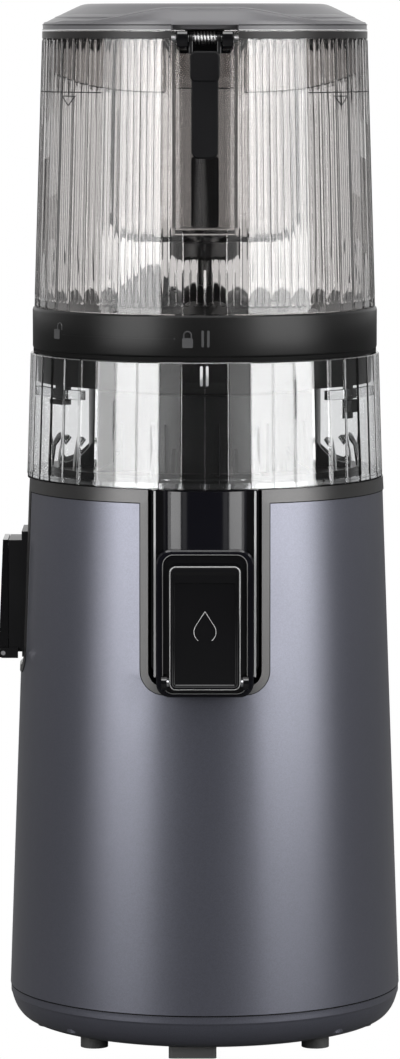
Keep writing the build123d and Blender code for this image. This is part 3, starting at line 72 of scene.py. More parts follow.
def buildPiece(name, grids, sharp=30):
    # one object from (points, wrapRows, wrapCols) grids, doubles merged, faces turned outwards
    points = np.concatenate([grid[0].reshape(-1, 3) for grid in grids]) * mm
    shapes = [grid[0].shape[:2] for grid in grids]
    starts = np.cumsum([0] + [rows * cols for rows, cols in shapes[:-1]])
    faces = np.concatenate([gridFaces(*shape, *grid[1:]) + at for shape, grid, at in zip(shapes, grids, starts)])
    mesh = bpy.data.meshes.new(name)
    mesh.vertices.add(len(points))
    mesh.vertices.foreach_set("co", points.ravel())
    mesh.loops.add(faces.size)
    mesh.loops.foreach_set("vertex_index", faces.ravel().astype(np.int32))
    mesh.polygons.add(len(faces))
    mesh.polygons.foreach_set("loop_start", np.arange(0, faces.size, 4, dtype=np.int32))
    mesh.update(calc_edges=True)
    work = bmesh.new()
    work.from_mesh(mesh)
    bmesh.ops.remove_doubles(work, verts=work.verts, dist=weld["merge"])
    bmesh.ops.dissolve_degenerate(work, edges=work.edges, dist=weld["shortest"])
    bmesh.ops.recalc_face_normals(work, faces=work.faces)
    work.to_mesh(mesh)
    work.free()
    mesh.shade_smooth()
    mesh.set_sharp_from_angle(angle=np.radians(sharp))
    piece = bpy.data.objects.new(name, mesh)
    bpy.context.scene.collection.objects.link(piece)
    return piece


def shell(outer, inner, wrapRows=False):
    # closed wall between two grids: both skins and strips along their free edges
    grids = [(outer, wrapRows, False), (inner, wrapRows, False)]
    for side in (0, -1):
        grids.append((np.stack([outer[:, side], inner[:, side]], 1), wrapRows, False))
        if not wrapRows:
            grids.append((np.stack([outer[side], inner[side]], 1), False, False))
    return grids


def fullTurn(count):
    # evenly spread angles of one turn
    return np.linspace(0, 2 * np.pi, count, endpoint=False)


def fromFront(radius, angle, height):
    # points round the drive axis, with the angle from the front: (r sin a, -r cos a, height)
    radius, angle, height = np.broadcast_arrays(radius, angle, height)
    return np.stack([radius * np.sin(angle), -radius * np.cos(angle), height], -1)


def circleAt(across, up, radius, angle):
    # points of an upright circle: (across + r cos a, up + r sin a)
    return np.stack([across + radius * np.cos(angle), up + radius * np.sin(angle)], 1)


def boxLoop(inner, outer, low, high):
    # rectangle between two reaches and two heights
    return [(inner, low), (outer, low), (outer, high), (inner, high)]


def softLoop(corners, radii, steps=6, closed=True):
    # corners become arcs: the weighted quadratic through both tangent points, weight = sine of half the corner
    corners = np.array(corners, float)
    radii = np.broadcast_to(np.array(radii, float), len(corners)).copy()
    if not closed:
        radii[[0, -1]] = 0
    before, after = np.roll(corners, 1, 0) - corners, np.roll(corners, -1, 0) - corners
    lengths = np.stack([np.linalg.norm(before, axis=1), np.linalg.norm(after, axis=1)], 1)
    before, after = before / lengths[:, :1], after / lengths[:, 1:]
    half = np.arccos(np.clip((before * after).sum(1), -1, 1)) / 2
    reach = np.minimum(radii / np.tan(np.maximum(half, 1e-3)), 0.499 * lengths.min(1))[:, None, None]
    t = np.linspace(0, 1, steps)[None, :, None]
    weight = np.sin(half)[:, None, None]
    corner = corners[:, None]
    start, end = corner + before[:, None] * reach, corner + after[:, None] * reach
    curve = (1 - t) ** 2 * start + 2 * weight * t * (1 - t) * corner + t ** 2 * end
    return (curve / ((1 - t) ** 2 + 2 * weight * t * (1 - t) + t ** 2)).reshape(-1, 2)


def roundedBox(half, low, high, radius, steps=6, middle=0.0):
    # rectangle with round corners, as (across, up), its middle moved across
    return softLoop(boxLoop(-half, half, low, high), radius, steps) + np.array([middle, 0])


def cupLine(half, foot, top, corner, steps=14):
    # open U with round lower corners
    return softLoop([(-half, top), (-half, foot), (half, foot), (half, top)], corner, steps, False)


def shrunk(loop, inset):
    # outline scaled towards its middle, so that its farthest side moves in by the inset
    middle = loop.mean(0)
    return middle + (loop - middle) * (1 - inset / np.abs(loop - middle).max())


def turned(profile, count=180, start=0.0, sweep=360.0):
    # profile of (radius, height) carried round the drive axis: x = r cos a, y = r sin a
    angle = np.radians(start + np.linspace(0, sweep, count, endpoint=sweep < 360))[:, None]
    profile = np.array(profile, float)
    radius, height = profile[None, :, 0], profile[None, :, 1] + 0 * angle
    return np.stack([radius * np.cos(angle), radius * np.sin(angle), height], -1)


def fullRing(loop, count=180):
    # closed outline of (radius, height) carried all the way round
    return turned(loop, count), True, True


def atFront(loop, depth):
    # (across, up) outline stood up at a depth in front of the drive axis
    loop = np.array(loop, float)
    return np.stack([loop[:, 0], np.full(len(loop), -float(depth)), loop[:, 1]], -1)


def atSide(loop, across):
    # (forwards-backwards, up) outline stood up at a place left or right
    return np.stack([np.full(len(loop), float(across)), loop[:, 0], loop[:, 1]], -1)


def capped(levels):
    # rings stacked into a solid, closed at each end by its middle point
    levels = np.array(levels)
    ends = [np.repeat(end.mean(1, keepdims=True), levels.shape[1], 1) for end in (levels[:1], levels[-1:])]
    return np.concatenate([ends[0], levels, ends[1]]), False, True


def frontPlate(loop, back, front):
    # outline that faces the front, between two depths
    return capped([atFront(loop, back), atFront(loop, front)])


def slab(loop, low, high, bevel=0.3):
    # outline pushed from left to right, its edges eased by smaller end rings
    loop = np.array(loop, float)
    eased = shrunk(loop, bevel)
    return capped([atSide(eased, low), atSide(loop, low + bevel), atSide(loop, high - bevel), atSide(eased, high)])


def slabPair(loop, inner, outer, bevel=0.3):
    # the same slab on the left and on the right
    return [slab(loop, *sorted((side * inner, side * outer)), bevel) for side in (-1, 1)]


def tube(path, radius, sides=8, closed=False):
    # circle carried along a path in a plane that faces the front: centre + r (cos b * sideways + sin b * forwards)
    path = np.array(path, float)
    path = path[np.r_[True, np.linalg.norm(np.diff(path, axis=0), axis=1) > 1e-6]]
    along = np.gradient(path, axis=0)
    along /= np.linalg.norm(along, axis=1, keepdims=True)
    forwards = np.array([0.0, -1.0, 0.0])
    sideways = np.cross(along, forwards)
    angle = fullTurn(sides)[None, :, None]
    rings = path[:, None] + radius * (np.cos(angle) * sideways[:, None] + np.sin(angle) * forwards)
    return (rings, True, True) if closed else capped(rings)


def ringTube(path, radius, sides=8):
    # circle carried along a path round the drive axis, in the plane of the outward and upward directions
    path = np.array(path, float)
    outward = path * [1, 1, 0]
    outward /= np.linalg.norm(outward, axis=1, keepdims=True)
    angle = fullTurn(sides)[None, :, None]
    return capped(path[:, None] + radius * (np.cos(angle) * outward[:, None] + np.sin(angle) * np.array([0, 0, 1.0])))


def onWall(loop, radius, lift):
    # (across, up) outline wrapped on a round wall: angle = across / radius, lifted off it
    return fromFront(radius + lift, loop[:, 0] / radius, loop[:, 1])


def wallPlate(loop, radius, lift, sink=0.05):
    # thin plate lying on a round wall
    return capped([onWall(loop, radius, -sink), onWall(loop, radius, lift)])


def smoothStep(value):
    # 3t^2 - 2t^3 between 0 and 1
    t = np.clip(value, 0, 1)
    return t * t * (3 - 2 * t)


def coneRadius(size, height):
    # radius of a tapering wall: the foot's radius plus the height's share of the change up to the top
    share = (height - size["foot"]) / (size["top"] - size["foot"])
    return size["footRadius"] + (size["topRadius"] - size["footRadius"]) * share


# finishes: each is a node tree on object coordinates

def newMaterial(name):
    # material with its node tree and its shader
    material = bpy.data.materials.new(name)
    material.use_nodes = True
    return material, material.node_tree, material.node_tree.nodes["Principled BSDF"]


def feedNode(tree, node, inputs):
    # sets each input to its number or colour, or links it to another node's output
    for socket, value in inputs.items():
        if isinstance(value, bpy.types.NodeSocket):
            tree.links.new(value, node.inputs[socket])
        else:
            node.inputs[socket].default_value = value


def addNode(tree, kind, inputs, output=0):
    # new node with its inputs fed; gives one of its outputs
    node = tree.nodes.new("ShaderNode" + kind)
    feedNode(tree, node, inputs)
    return node.outputs[output]


def mathNode(tree, operation, *values):
    # result of one operation on one or two values
    node = tree.nodes.new("ShaderNodeMath")
    node.operation = operation
    feedNode(tree, node, dict(enumerate(values)))
    return node.outputs["Value"]


def rangeNode(tree, value, source, target):
    # value carried from one range to another
    return addNode(tree, "MapRange", {"Value": value, "From Min": source[0], "From Max": source[1],
                                      "To Min": target[0], "To Max": target[1]}, "Result")


def mixColour(tree, share, colour, shift):
    # colour between a darker and a lighter one, each off by the shift, by a share from 0 to 1
    mix = tree.nodes.new("ShaderNodeMix")
    mix.data_type = "RGBA"
    dark, light = [[min(1.0, c * (1 + by)) for c in colour] for by in (-shift, shift)]
    feedNode(tree, mix, {0: share, 6: (*dark, 1), 7: (*light, 1)})
    return mix.outputs[2]


def surfaceDetail(tree, shader, grain, grainHeight, rough, patch, colour=None, shift=0.06, stretch=None):
    # fine grain in the bump, slow patches in the roughness and a slight shift of the colour
    place = addNode(tree, "TexCoord", {}, "Object")
    along = addNode(tree, "Mapping", {"Vector": place, "Scale": stretch}, "Vector") if stretch else place
    fine = addNode(tree, "TexNoise", {"Scale": grain, "Detail": 3.0, "Vector": along}, "Fac")
    slow = addNode(tree, "TexNoise", {"Scale": patch, "Detail": 2.0, "Vector": place}, "Fac")
    bump = addNode(tree, "Bump", {"Strength": 0.6, "Distance": grainHeight * mm, "Height": fine}, "Normal")
    feedNode(tree, shader, {"Normal": bump, "Roughness": rangeNode(tree, slow, (0.0, 1.0), rough)})
    if colour:
        feedNode(tree, shader, {"Base Color": mixColour(tree, slow, colour, shift)})
    return place


def moulded(name, colour, rough=0.3, grain=900.0, grainHeight=0.01, shine=0.5):
    # moulded plastic or rubber with a fine spark-eroded grain
    material, tree, shader = newMaterial(name)
    surfaceDetail(tree, shader, grain, grainHeight, (rough - 0.05, rough + 0.06), 45.0, colour)
    feedNode(tree, shader, {"Specular IOR Level": shine})
    return material


def satinPaint(name, colour, metal, rough, flake):
    # painted body: tiny metal flakes lighten or darken single cells, a thin coat lies over them
    material, tree, shader = newMaterial(name)
    place = surfaceDetail(tree, shader, 2200.0, 0.012, (rough - 0.02, rough + 0.03), 18.0)
    cells = addNode(tree, "TexVoronoi", {"Scale": 2600.0, "Vector": place}, "Color")
    share = addNode(tree, "SeparateColor", {"Color": cells})
    feedNode(tree, shader, {"Base Color": mixColour(tree, share, colour, flake), "Metallic": metal,
                            "Coat Weight": 0.4, "Coat Roughness": 0.3})
    return material


def clearPlastic(name, tint, index=1.5, shine=0.5):
    # see-through moulding with faint flow marks
    material, tree, shader = newMaterial(name)
    surfaceDetail(tree, shader, 60.0, 0.0004, (0.0, 0.008), 30.0)
    feedNode(tree, shader, {"Base Color": (*tint, 1), "Transmission Weight": 1.0, "IOR": index,
                            "Specular IOR Level": shine})
    return material


def groundSteel(name, colour, rough=0.3, stretch=(40.0, 40.0, 900.0)):
    # turned or rolled metal with fine lines across its axis
    material, tree, shader = newMaterial(name)
    surfaceDetail(tree, shader, 1.0, 0.02, (rough - 0.06, rough + 0.08), 60.0, colour, stretch=stretch)
    feedNode(tree, shader, {"Metallic": 1.0})
    return material


# one finish for each material slot of the record
finishes = {
    "body_satin": satinPaint("bodySatin", (0.066, 0.068, 0.086), 0.75, 0.3, 0.1),
    "trim_satin": satinPaint("trimSatin", (0.022, 0.0215, 0.0215), 0.8, 0.3, 0.08),
    "collar_satin": moulded("collarSatin", (0.003, 0.003, 0.003), 0.31, 1400.0, 0.02, 0.15),
    "black_plastic": moulded("blackPlastic", (0.003, 0.003, 0.0033), shine=0.2),
    "black_gloss": moulded("blackGloss", (0.002, 0.002, 0.0023), 0.1, 500.0, 0.004),
    "lid_gloss": moulded("lidGloss", (0.058, 0.057, 0.06), 0.3, 600.0, 0.006, 0.25),
    "smoky_clear": clearPlastic("smokyClear", (0.765, 0.75, 0.742), 1.42, 0.14),
    "clear_bowl": clearPlastic("clearBowl", (0.93, 0.935, 0.94), 1.56),
    "silicone": moulded("silicone", (0.03, 0.03, 0.032), 0.55, 700.0, 0.02),
    "rubber": moulded("rubber", (0.018, 0.018, 0.018), 0.7, 600.0, 0.06),
    "bearing_steel": groundSteel("bearingSteel", (0.56, 0.56, 0.58)),
    "lamination": groundSteel("lamination", (0.22, 0.22, 0.23), 0.45, (30.0, 30.0, 2500.0)),
    "zinc_steel": groundSteel("zincSteel", (0.5, 0.51, 0.53), 0.4),
    "cast_alloy": groundSteel("castAlloy", (0.48, 0.48, 0.49), 0.5, (500.0, 500.0, 500.0)),
    "gear_nylon": moulded("gearNylon", (0.62, 0.6, 0.52), 0.5, 800.0, 0.03),
    "board": moulded("boardGreen", (0.02, 0.09, 0.04), 0.35, 900.0, 0.03),
}
# finishes of single visible pieces
smokyDeep = clearPlastic("smokyDeep", (0.38, 0.37, 0.365))
smokyBand = moulded("smokyBand", (0.01, 0.0095, 0.0095), 0.3, 700.0, 0.006, 0.14)
ribBlue = moulded("ribBlue", (0.022, 0.022, 0.031), 0.4, 500.0, shine=0.2)
# painted highlight: light grey for the line at the foot of the lid's rim
highlightGrey = moulded("highlightGrey", (0.2, 0.2, 0.2))
# painted highlight: grey for the line round the spout frame's hole
frameHighlightGrey = moulded("frameHighlightGrey", (0.09, 0.09, 0.09))
# light grey: painted highlights on the spout's rails and the cap's edge, and the print of the drop mark
highlightAndPrintGrey = moulded("highlightAndPrintGrey", (0.22, 0.22, 0.22))
neckBlack = moulded("neckBlack", (0.002, 0.002, 0.003), 0.12, 500.0, 0.003, 0.3)
springSteel = groundSteel("springSteel", (0.16, 0.16, 0.16), 0.35)
markGrey = moulded("markGrey", (0.024, 0.024, 0.025), 0.35)
# light grey: print of the bars on the bowl, and painted highlight beads in the strainer's fins
printAndHighlightLight = moulded("printAndHighlightLight", (0.3, 0.3, 0.3), 0.4)
# painted shade for the groove roots, the lid's crease, the skirt's lower edge and the bowl's ribs; also the print of
# the fill marks
shadeAndPrintDark = moulded("shadeAndPrintDark", (0.008, 0.008, 0.009), 0.4, shine=0.1)
# painted shade: black that fills seams, gaps and the feed guide's edge lines
paintedShadeBlack = moulded("paintedShadeBlack", (0.002, 0.002, 0.002), 0.6, shine=0.05)
print("finishes made:", len(finishes))

slotOf = {part["node"]: part["material_slot"] for part in frame["record"]["subparts"]}
for node, holder in frame["nodes"].items():
    holder.data.materials.clear()
    holder.data.materials.append(finishes[slotOf[node]])


def addPiece(name, grids, body, slotName, *nodes, finish=None, sharp=30):
    # builds a piece, gives it its finish (the slot's finish unless another is given) and its body, and hides the nodes
    # that it stands in for
    piece = buildPiece(name, grids, sharp)
    piece.data.materials.append(finish or finishes[slotName])
    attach(piece, body)
    if nodes:
        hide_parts(*nodes)


hopper = {
    "foot": boxOf("hopper")[0][2], "top": 440.0,  # edges of the clear wall; the hinge ears stand above it
    "footRadius": 74.7, "topRadius": 70.9, "meanRadius": 73.0,  # the last sets the depth of the facets
    "wall": 2.6, "edgeInset": 0.4,  # of the outermost point at the upper and lower edge
    "band": 3.0, "footBand": 1.5,  # plain strips at the top and the foot
    "reedsPerFacet": 3, "reedDepth": 0.09, "grooveWidth": 0.32, "reedFoot": 3.2,  # where the reeding starts
    "lineRadius": 0.12, "lineSunk": 0.06, "lineFoot": 5.0,  # painted shade line between two reeds, under the outer face
    "windowHalf": 0.2, "windowLow": 339.0, "windowHigh": 357.0,  # smooth window; its half angle is in radians
    "channelHalf": 14.3, "channelWall": 2.0, "channelBack": 61.9, "channelSkin": 1.5,  # the lever's pocket
    "channelDepth": 86.0,  # down from the top edge
}
# flat strips round the clear walls, one edge straight ahead
facets = {"count": 48, "hollow": 0.02, "arris": 0.03, "arrisWidth": 0.25}


def facetDip(angle, radius):
    # depth of a flat facet under its circle, R (1 - cos h / cos p), plus a slight hollow, less a thin raised edge;
    # p runs from -h to h
    half = np.pi / facets["count"]
    p = np.mod(angle, 2 * half) - half
    edge = np.exp(-((half - np.abs(p)) * radius / facets["arrisWidth"]) ** 2)
    flat = radius * (1 - np.cos(half) / np.cos(p))
    return flat + facets["hollow"] * np.cos(p / half * np.pi / 2) - facets["arris"] * edge


def reedField(angle, height, size):
    # 1 in the groove between two reeds and round each reed's foot: exp(-(d / w)^2), where d is the distance to a U:
    # | |s| - h | above the foot's centre, | sqrt(s^2 + t^2) - h | below it, s across and t down from that centre
    half = np.pi / (facets["count"] * size["reedsPerFacet"])
    s = (np.mod(angle, 2 * half) - half) * size["footRadius"]
    h = half * size["footRadius"]
    t = np.minimum(height - (size["foot"] + size["reedFoot"] + h), 0)
    d = np.abs(np.hypot(s, t) - h)
    ends = smoothStep((size["top"] - size["band"] - height) / 0.5)
    clear = (np.abs(angle) < size["windowHalf"]) & (height > size["windowLow"]) & (height < size["windowHigh"])
    return np.exp(-(d / size["grooveWidth"]) ** 2) * ends * ~clear * (np.hypot(s, t) < h + 0.5)


def hopperSkins(size):
    # outside: taper less the dip of the facets; inside: that less the wall, with narrow grooves between the reeds;
    # in the lever's pocket both skins are flat: radius = depth / cos a
    count = facets["count"] * size["reedsPerFacet"]
    steps = np.array([-0.5, -0.3, -0.2, -0.13, -0.08, -0.035, 0.0, 0.035, 0.08, 0.13, 0.2, 0.3])
    angle = ((np.arange(count)[:, None] - count / 2 + steps) * 2 * np.pi / count).ravel()
    pocket = np.array([size["channelHalf"] - size["channelWall"], size["channelHalf"]])
    edges = np.arcsin(pocket / size["topRadius"])
    nudge = 2e-4  # half the width of the steep strip at a pocket edge, in radians
    breaks = [sign * edge + side * nudge for sign in (-1, 1) for edge in edges for side in (-1, 1)]
    angle = np.sort(np.concatenate([angle, breaks]))
    low, high, footTop = size["foot"], size["top"], size["foot"] + size["footBand"]
    reedLow, bandFoot = low + size["reedFoot"], high - size["band"]
    pocketFoot = high - size["channelDepth"]
    pocketFloor, middle = pocketFoot + size["channelWall"], 0.5 * (pocketFoot + high)
    outerUp = np.unique([low, low + 0.4, footTop, footTop + 0.8, pocketFoot, pocketFloor, pocketFloor + 0.05,
                         middle, bandFoot - 0.6, bandFoot, high - 0.5, high])
    innerUp = np.unique(np.concatenate([
        reedLow + np.array([-1, -0.3, -0.1, 0.1, 0.3, 0.6, 0.9, 1.2, 1.6]),
        [low, size["windowLow"], size["windowLow"] + 0.1, pocketFoot - 0.1, pocketFoot + 0.05,
         middle, bandFoot - 0.5, bandFoot, high - 0.5, high]]))

    def upright(height):
        # keeps the pocket's edges upright while the wall tapers: angle * top radius / radius, near the edges only
        near = np.exp(-((np.abs(angle) - edges.mean()) / 0.09) ** 2)[:, None]
        return angle[:, None] * (1 + (size["topRadius"] / coneRadius(size, height) - 1) * near)

    dip = facetDip(angle, size["meanRadius"])[:, None]
    turn = upright(outerUp)
    fade = smoothStep((outerUp - footTop) / 0.8) * smoothStep((bandFoot - outerUp) / 0.6)
    radius = coneRadius(size, outerUp) - dip * fade
    radius -= size["edgeInset"] * ((outerUp > high - 0.2) | (outerUp < low + 0.2))
    inPocket = (np.abs(angle) < edges[0])[:, None] & (outerUp > pocketFloor + 0.02)
    outer = fromFront(np.where(inPocket, size["channelBack"] / np.cos(turn), radius), turn, outerUp)

    turn = upright(innerUp)
    reeds = size["reedDepth"] * reedField(angle[:, None], innerUp, size)
    radius = coneRadius(size, innerUp) - size["wall"] - dip + reeds
    behind = (np.abs(angle) < edges[1])[:, None] & (innerUp > pocketFoot + 0.02)
    flat = np.minimum(radius, (size["channelBack"] - size["channelSkin"]) / np.cos(turn))
    return outer, fromFront(np.where(behind, flat, radius), turn, innerUp)


def grooveLine(turn, low, high, size):
    # straight thin tube just under the outer face of the tapering wall at one angle
    heights = np.linspace(low, high, 3)
    radius = coneRadius(size, heights) - facetDip(turn, size["meanRadius"]) - size["lineSunk"]
    ring = fullTurn(6)[None, :, None]
    aside, out = np.array([np.cos(turn), np.sin(turn), 0]), np.array([np.sin(turn), -np.cos(turn), 0])
    around = size["lineRadius"] * (np.cos(ring) * aside + np.sin(ring) * out)
    return capped(fromFront(radius, turn, heights)[:, None] + around)


addPiece("hopperWall", shell(*hopperSkins(hopper), True), "hopper", "smoky_clear", "hopper", sharp=16)

# painted shade lines in the roots of the grooves; below the pocket they end under the smooth window
grooveGrids = []
for turn in (fullTurn(facets["count"] * hopper["reedsPerFacet"]) + np.pi) % (2 * np.pi) - np.pi:
    inFront = abs(turn) * hopper["topRadius"] < hopper["channelHalf"]
    lineTop = hopper["windowLow"] if inFront else hopper["top"] - hopper["band"]
    if turn != 0:
        grooveGrids.append(grooveLine(turn, hopper["foot"] + hopper["lineFoot"], lineTop - 1, hopper))
addPiece("reedShadeLines", grooveGrids, "hopper", "smoky_clear", finish=shadeAndPrintDark)

# thicker band at the top edge, open in front of the lever
band = {"inner": 70.0, "outer": 71.0, "low": 436.9, "high": 439.9}
bandEdge = np.degrees(np.arcsin(hopper["channelHalf"] / hopper["topRadius"]))
bandPoints = turned(boxLoop(**band), 200, bandEdge - 90, 360 - 2 * bandEdge)
addPiece("hopperBand", [capped(bandPoints)], "hopper", "smoky_clear", finish=smokyBand)

# hinge ears behind, and the knuckles that hold the lever in front
hinge = {"y": 76.5, "z": 438.0, "radius": 4.4, "outer": 16.0, "inner": 9.3}
earRoot = hopper["topRadius"] - 1
earArc = circleAt(hinge["y"], hinge["z"], hinge["radius"], np.linspace(-0.5 * np.pi, 0.75 * np.pi, 16))
earLoop = np.vstack([(earRoot, hinge["z"] - 4 * hinge["radius"]), earArc, (earRoot, hinge["z"] + 1)])
addPiece("hopperEars", slabPair(earLoop, hinge["inner"], hinge["outer"]), "hopper", "smoky_clear")

# the arm, the head and the pad behind them are (half width, low, high, corner)
latch = {
    "pinY": -65.5, "pinZ": 437.2, "knuckleRadius": 5.2, "knuckles": (7.1, 12.2), "coilRadius": 2.4, "wire": 0.42,
    "coils": 7, "coilHalf": 4.9, "arm": (5.7, 386.2, 431.0, 3.0), "head": (6.3, 418.7, 431.7, 2.5), "back": 66.5,
    "front": 70.4, "armSunk": 0.6, "bossRadius": 3.2, "bossDrop": 0.6, "boss": (5.2, 6.8),
    "pad": (12.0, 430.6, 440.0, 1.0), "padDepths": (61.95, 62.2),
    "neck": [(-69.5, 430.5), (-66.5, 430.5), (-64.0, 436.5), (-68.4, 436.5)],
}
knuckleLoop = circleAt(latch["pinY"], latch["pinZ"], latch["knuckleRadius"], fullTurn(28))
knuckleLoop[:, 1] = np.minimum(knuckleLoop[:, 1], hopper["top"] + 0.1)
addPiece("latchKnuckles", slabPair(knuckleLoop, *latch["knuckles"], 0.5), "hopper", "black_gloss")


def coil(size, sides=6):
    # helix about a left-right axis: (x, y, z) = (t w, y0 + r cos a, z0 + r sin a), a = 2 pi n t
    turn = np.linspace(0, 2 * np.pi * size["coils"], size["coils"] * 18)[:, None]
    across = np.linspace(-size["coilHalf"], size["coilHalf"], len(turn))[:, None]
    ring = fullTurn(sides)[None, :]
    reach = size["coilRadius"] + size["wire"] * np.cos(ring)
    return capped(np.stack([across + size["wire"] * np.sin(ring), size["pinY"] + reach * np.cos(turn),
                            size["pinZ"] + reach * np.sin(turn)], -1))


addPiece("latchCoil", [coil(latch)], "hopper", "bearing_steel", "latch_spring", finish=springSteel)

addPiece("latchPad", [frontPlate(roundedBox(*latch["pad"]), *latch["padDepths"])], "hopper", "black_gloss")


def easedPlate(half, low, high, radius, back, front, bevel=0.6):
    # rounded rectangle with its front edge eased: the front ring is smaller all round by the bevel
    inset = roundedBox(half - bevel, low + bevel, high - bevel, max(radius - bevel, 0.3))
    full = roundedBox(half, low, high, radius)
    return capped([atFront(full, back), atFront(full, front - bevel), atFront(inset, front)])


# lever: long arm with a thicker head, both with eased edges, and a boss on a neck at each side of the pin
bossLoop = circleAt(latch["pinY"], latch["pinZ"] - latch["bossDrop"], latch["bossRadius"], fullTurn(28))
addPiece("latchLever", [
    easedPlate(*latch["arm"], latch["back"], latch["front"] - latch["armSunk"]),
    easedPlate(*latch["head"], latch["back"], latch["front"]),
    *slabPair(bossLoop, *latch["boss"]), *slabPair(latch["neck"], *latch["boss"]),
], "latch", "black_plastic", "latch_lever")

# plates behind the lever: (half width, low, high, corner), back, front and finish
plates = {"latchChannel": ((12.6, 356.5, 436.0, 2.0), 59.2, 60.2, smokyDeep),
          "channelRib": ((5.9, 356.5, 387.0, 1.5), 58.0, 59.1, ribBlue)}
for name, (box, back, front, finish) in plates.items():
    addPiece(name, [frontPlate(roundedBox(*box), back, front)], "hopper", "smoky_clear", finish=finish)
print("hopper, hinge ears and lever made")

# feed guide: half a cup behind the middle, and a web on each side
guide = {"radius": 40.0, "wall": 2.0, "corner": 12.0, "foot": 348.0, "top": 435.0, "bore": 9.0,
         "web": (35.5, 360.0, 406.0, 3.0), "webMiddle": 19.5}


def guideSkins(size):
    # cup profile with a round corner, carried half a turn behind the middle
    skins = []
    for inset in (0, size["wall"]):
        side, floorUp = size["radius"] - inset, size["foot"] + inset
        profile = [(size["bore"], floorUp), (side, floorUp), (side, size["top"])]
        skins.append(turned(softLoop(profile, size["corner"] - inset, 14, False), 90, 0, 180))
    return shell(*skins)


webLoop = roundedBox(*guide["web"], middle=guide["webMiddle"])
webs = slabPair(webLoop, guide["radius"] - guide["wall"], guide["radius"])
addPiece("feedGuide", guideSkins(guide) + webs, "hopper", "smoky_clear", "feed_guide")

# painted shade line along the front edge of the cup, stronger in its lower corners
rim = {"cup": (39.0, 349.0, 434.6, 11.0, 20), "depth": 0.6, "line": 1.25, "cornerFrom": 20.0, "cornerHigh": 361.0,
       "cornerEnd": (-22.0, 349.0), "cornerInset": 0.8, "cornerLine": 1.7}
rimPath = cupLine(*rim["cup"])
addPiece("guideRimShade", [tube(atFront(rimPath, rim["depth"]), rim["line"])], "hopper", "smoky_clear", finish=paintedShadeBlack)
corner = rimPath[(rimPath[:, 0] < -rim["cornerFrom"]) & (rimPath[:, 1] < rim["cornerHigh"])]
corner = np.vstack([corner, rim["cornerEnd"]])
corners = [corner * [side, 1] + np.array([-side, 1]) * rim["cornerInset"] for side in (-1, 1)]
guideCornerShade = [tube(atFront(loop, rim["depth"]), rim["cornerLine"]) for loop in corners]
addPiece("guideCornerShade", guideCornerShade, "hopper", "smoky_clear", finish=paintedShadeBlack)

lidSize = {
    "top": boxOf("lid")[1][2], "radius": 70.7, "plateau": 53.0, "rimLow": 440.3, "rimHigh": 443.4, "wall": 2.4,
    "tabHalf": 13.0, "tabSpread": 52.0, "tabEnd": 68.0, "tabFade": 8.0, "shoulder": 444.8, "tabTop": 450.1,
    "notchHalf": 14.3, "notchDrop": 0.6, "edge": 1.3, "edgeDrop": 0.8, "lean": 4.0, "softness": 0.012,
    "fillet": 0.25,
}


def lidHeight(x, y, size):
    # higher of the cone (flat in the middle) and the tab, an S-curve of the distance from the centre line, in front
    # only; where the two are nearly level the crease is filled a little
    base, top, shoulder = size["rimHigh"], size["top"], size["shoulder"]
    away = 1 - (size["radius"] - np.hypot(x, y)) / (size["radius"] - size["plateau"])
    cone = base + (top - base) * (1 - 0.5 * (np.sqrt(away ** 2 + size["softness"]) + away))
    near = smoothStep((size["tabSpread"] - np.abs(x)) / (size["tabSpread"] - size["tabHalf"]))
    step = shoulder + (size["tabTop"] - shoulder) * near
    tab = base + (step - base) * smoothStep((size["tabEnd"] - np.abs(x)) / size["tabFade"]) * (y < 0)
    crease = size["fillet"] * np.exp(-np.abs(cone - tab) / size["fillet"]) * 0.5 * (y < 0)
    return np.minimum(np.maximum(cone, tab) + crease, top)


def lidSkins(size, count=360):
    # grid of angle and reach: the reach runs from the middle to the edge, round it and down the rim
    radius, base = size["radius"], size["rimHigh"]
    notch = np.arcsin(size["notchHalf"] / radius)
    breaks = [side * notch + nudge for side in (-1, 1) for nudge in (-2e-4, 2e-4)]
    angle = np.sort(np.concatenate([np.linspace(-np.pi, np.pi, count, endpoint=False), breaks]))[:, None]
    edgeReach = radius - size["edge"]
    reach = np.concatenate([np.linspace(0, size["plateau"] - 3, 12), np.linspace(size["plateau"] - 2, edgeReach, 22)])
    x, y = reach * np.sin(angle), -reach * np.cos(angle)
    brim = lidHeight(edgeReach * np.sin(angle), -edgeReach * np.cos(angle), size)
    lean = size["lean"] * (brim - base) / (size["top"] - base)       # the tab's face leans back
    squeeze = 1 - lean * (reach / edgeReach) ** 4 / edgeReach
    top = np.stack([x * squeeze, y * squeeze, lidHeight(x, y, size)], -1)
    bend = np.linspace(0, np.pi / 2, 7)[1:]
    out = radius - size["edge"] * (1 - np.sin(bend)) - lean
    bendRings = fromFront(out, angle, brim - size["edgeDrop"] * (1 - np.cos(bend)))
    foot = np.where(np.abs(angle) < notch, base - size["notchDrop"], size["rimLow"])
    brimFoot = brim - size["edgeDrop"]
    fall = np.linspace(0, 1, 6)[1:] * (brimFoot - foot)
    pull = 1 - lean * np.clip(1 - fall / np.maximum(brimFoot - base, 0.5), 0, 1) / radius
    outer = np.concatenate([top, bendRings, fromFront(radius * pull, angle, brimFoot - fall)], 1)
    inner = outer * [1 - size["wall"] / radius, 1 - size["wall"] / radius, 1]
    inner[..., 2] = np.maximum(outer[..., 2] - size["wall"], foot)
    return outer, inner


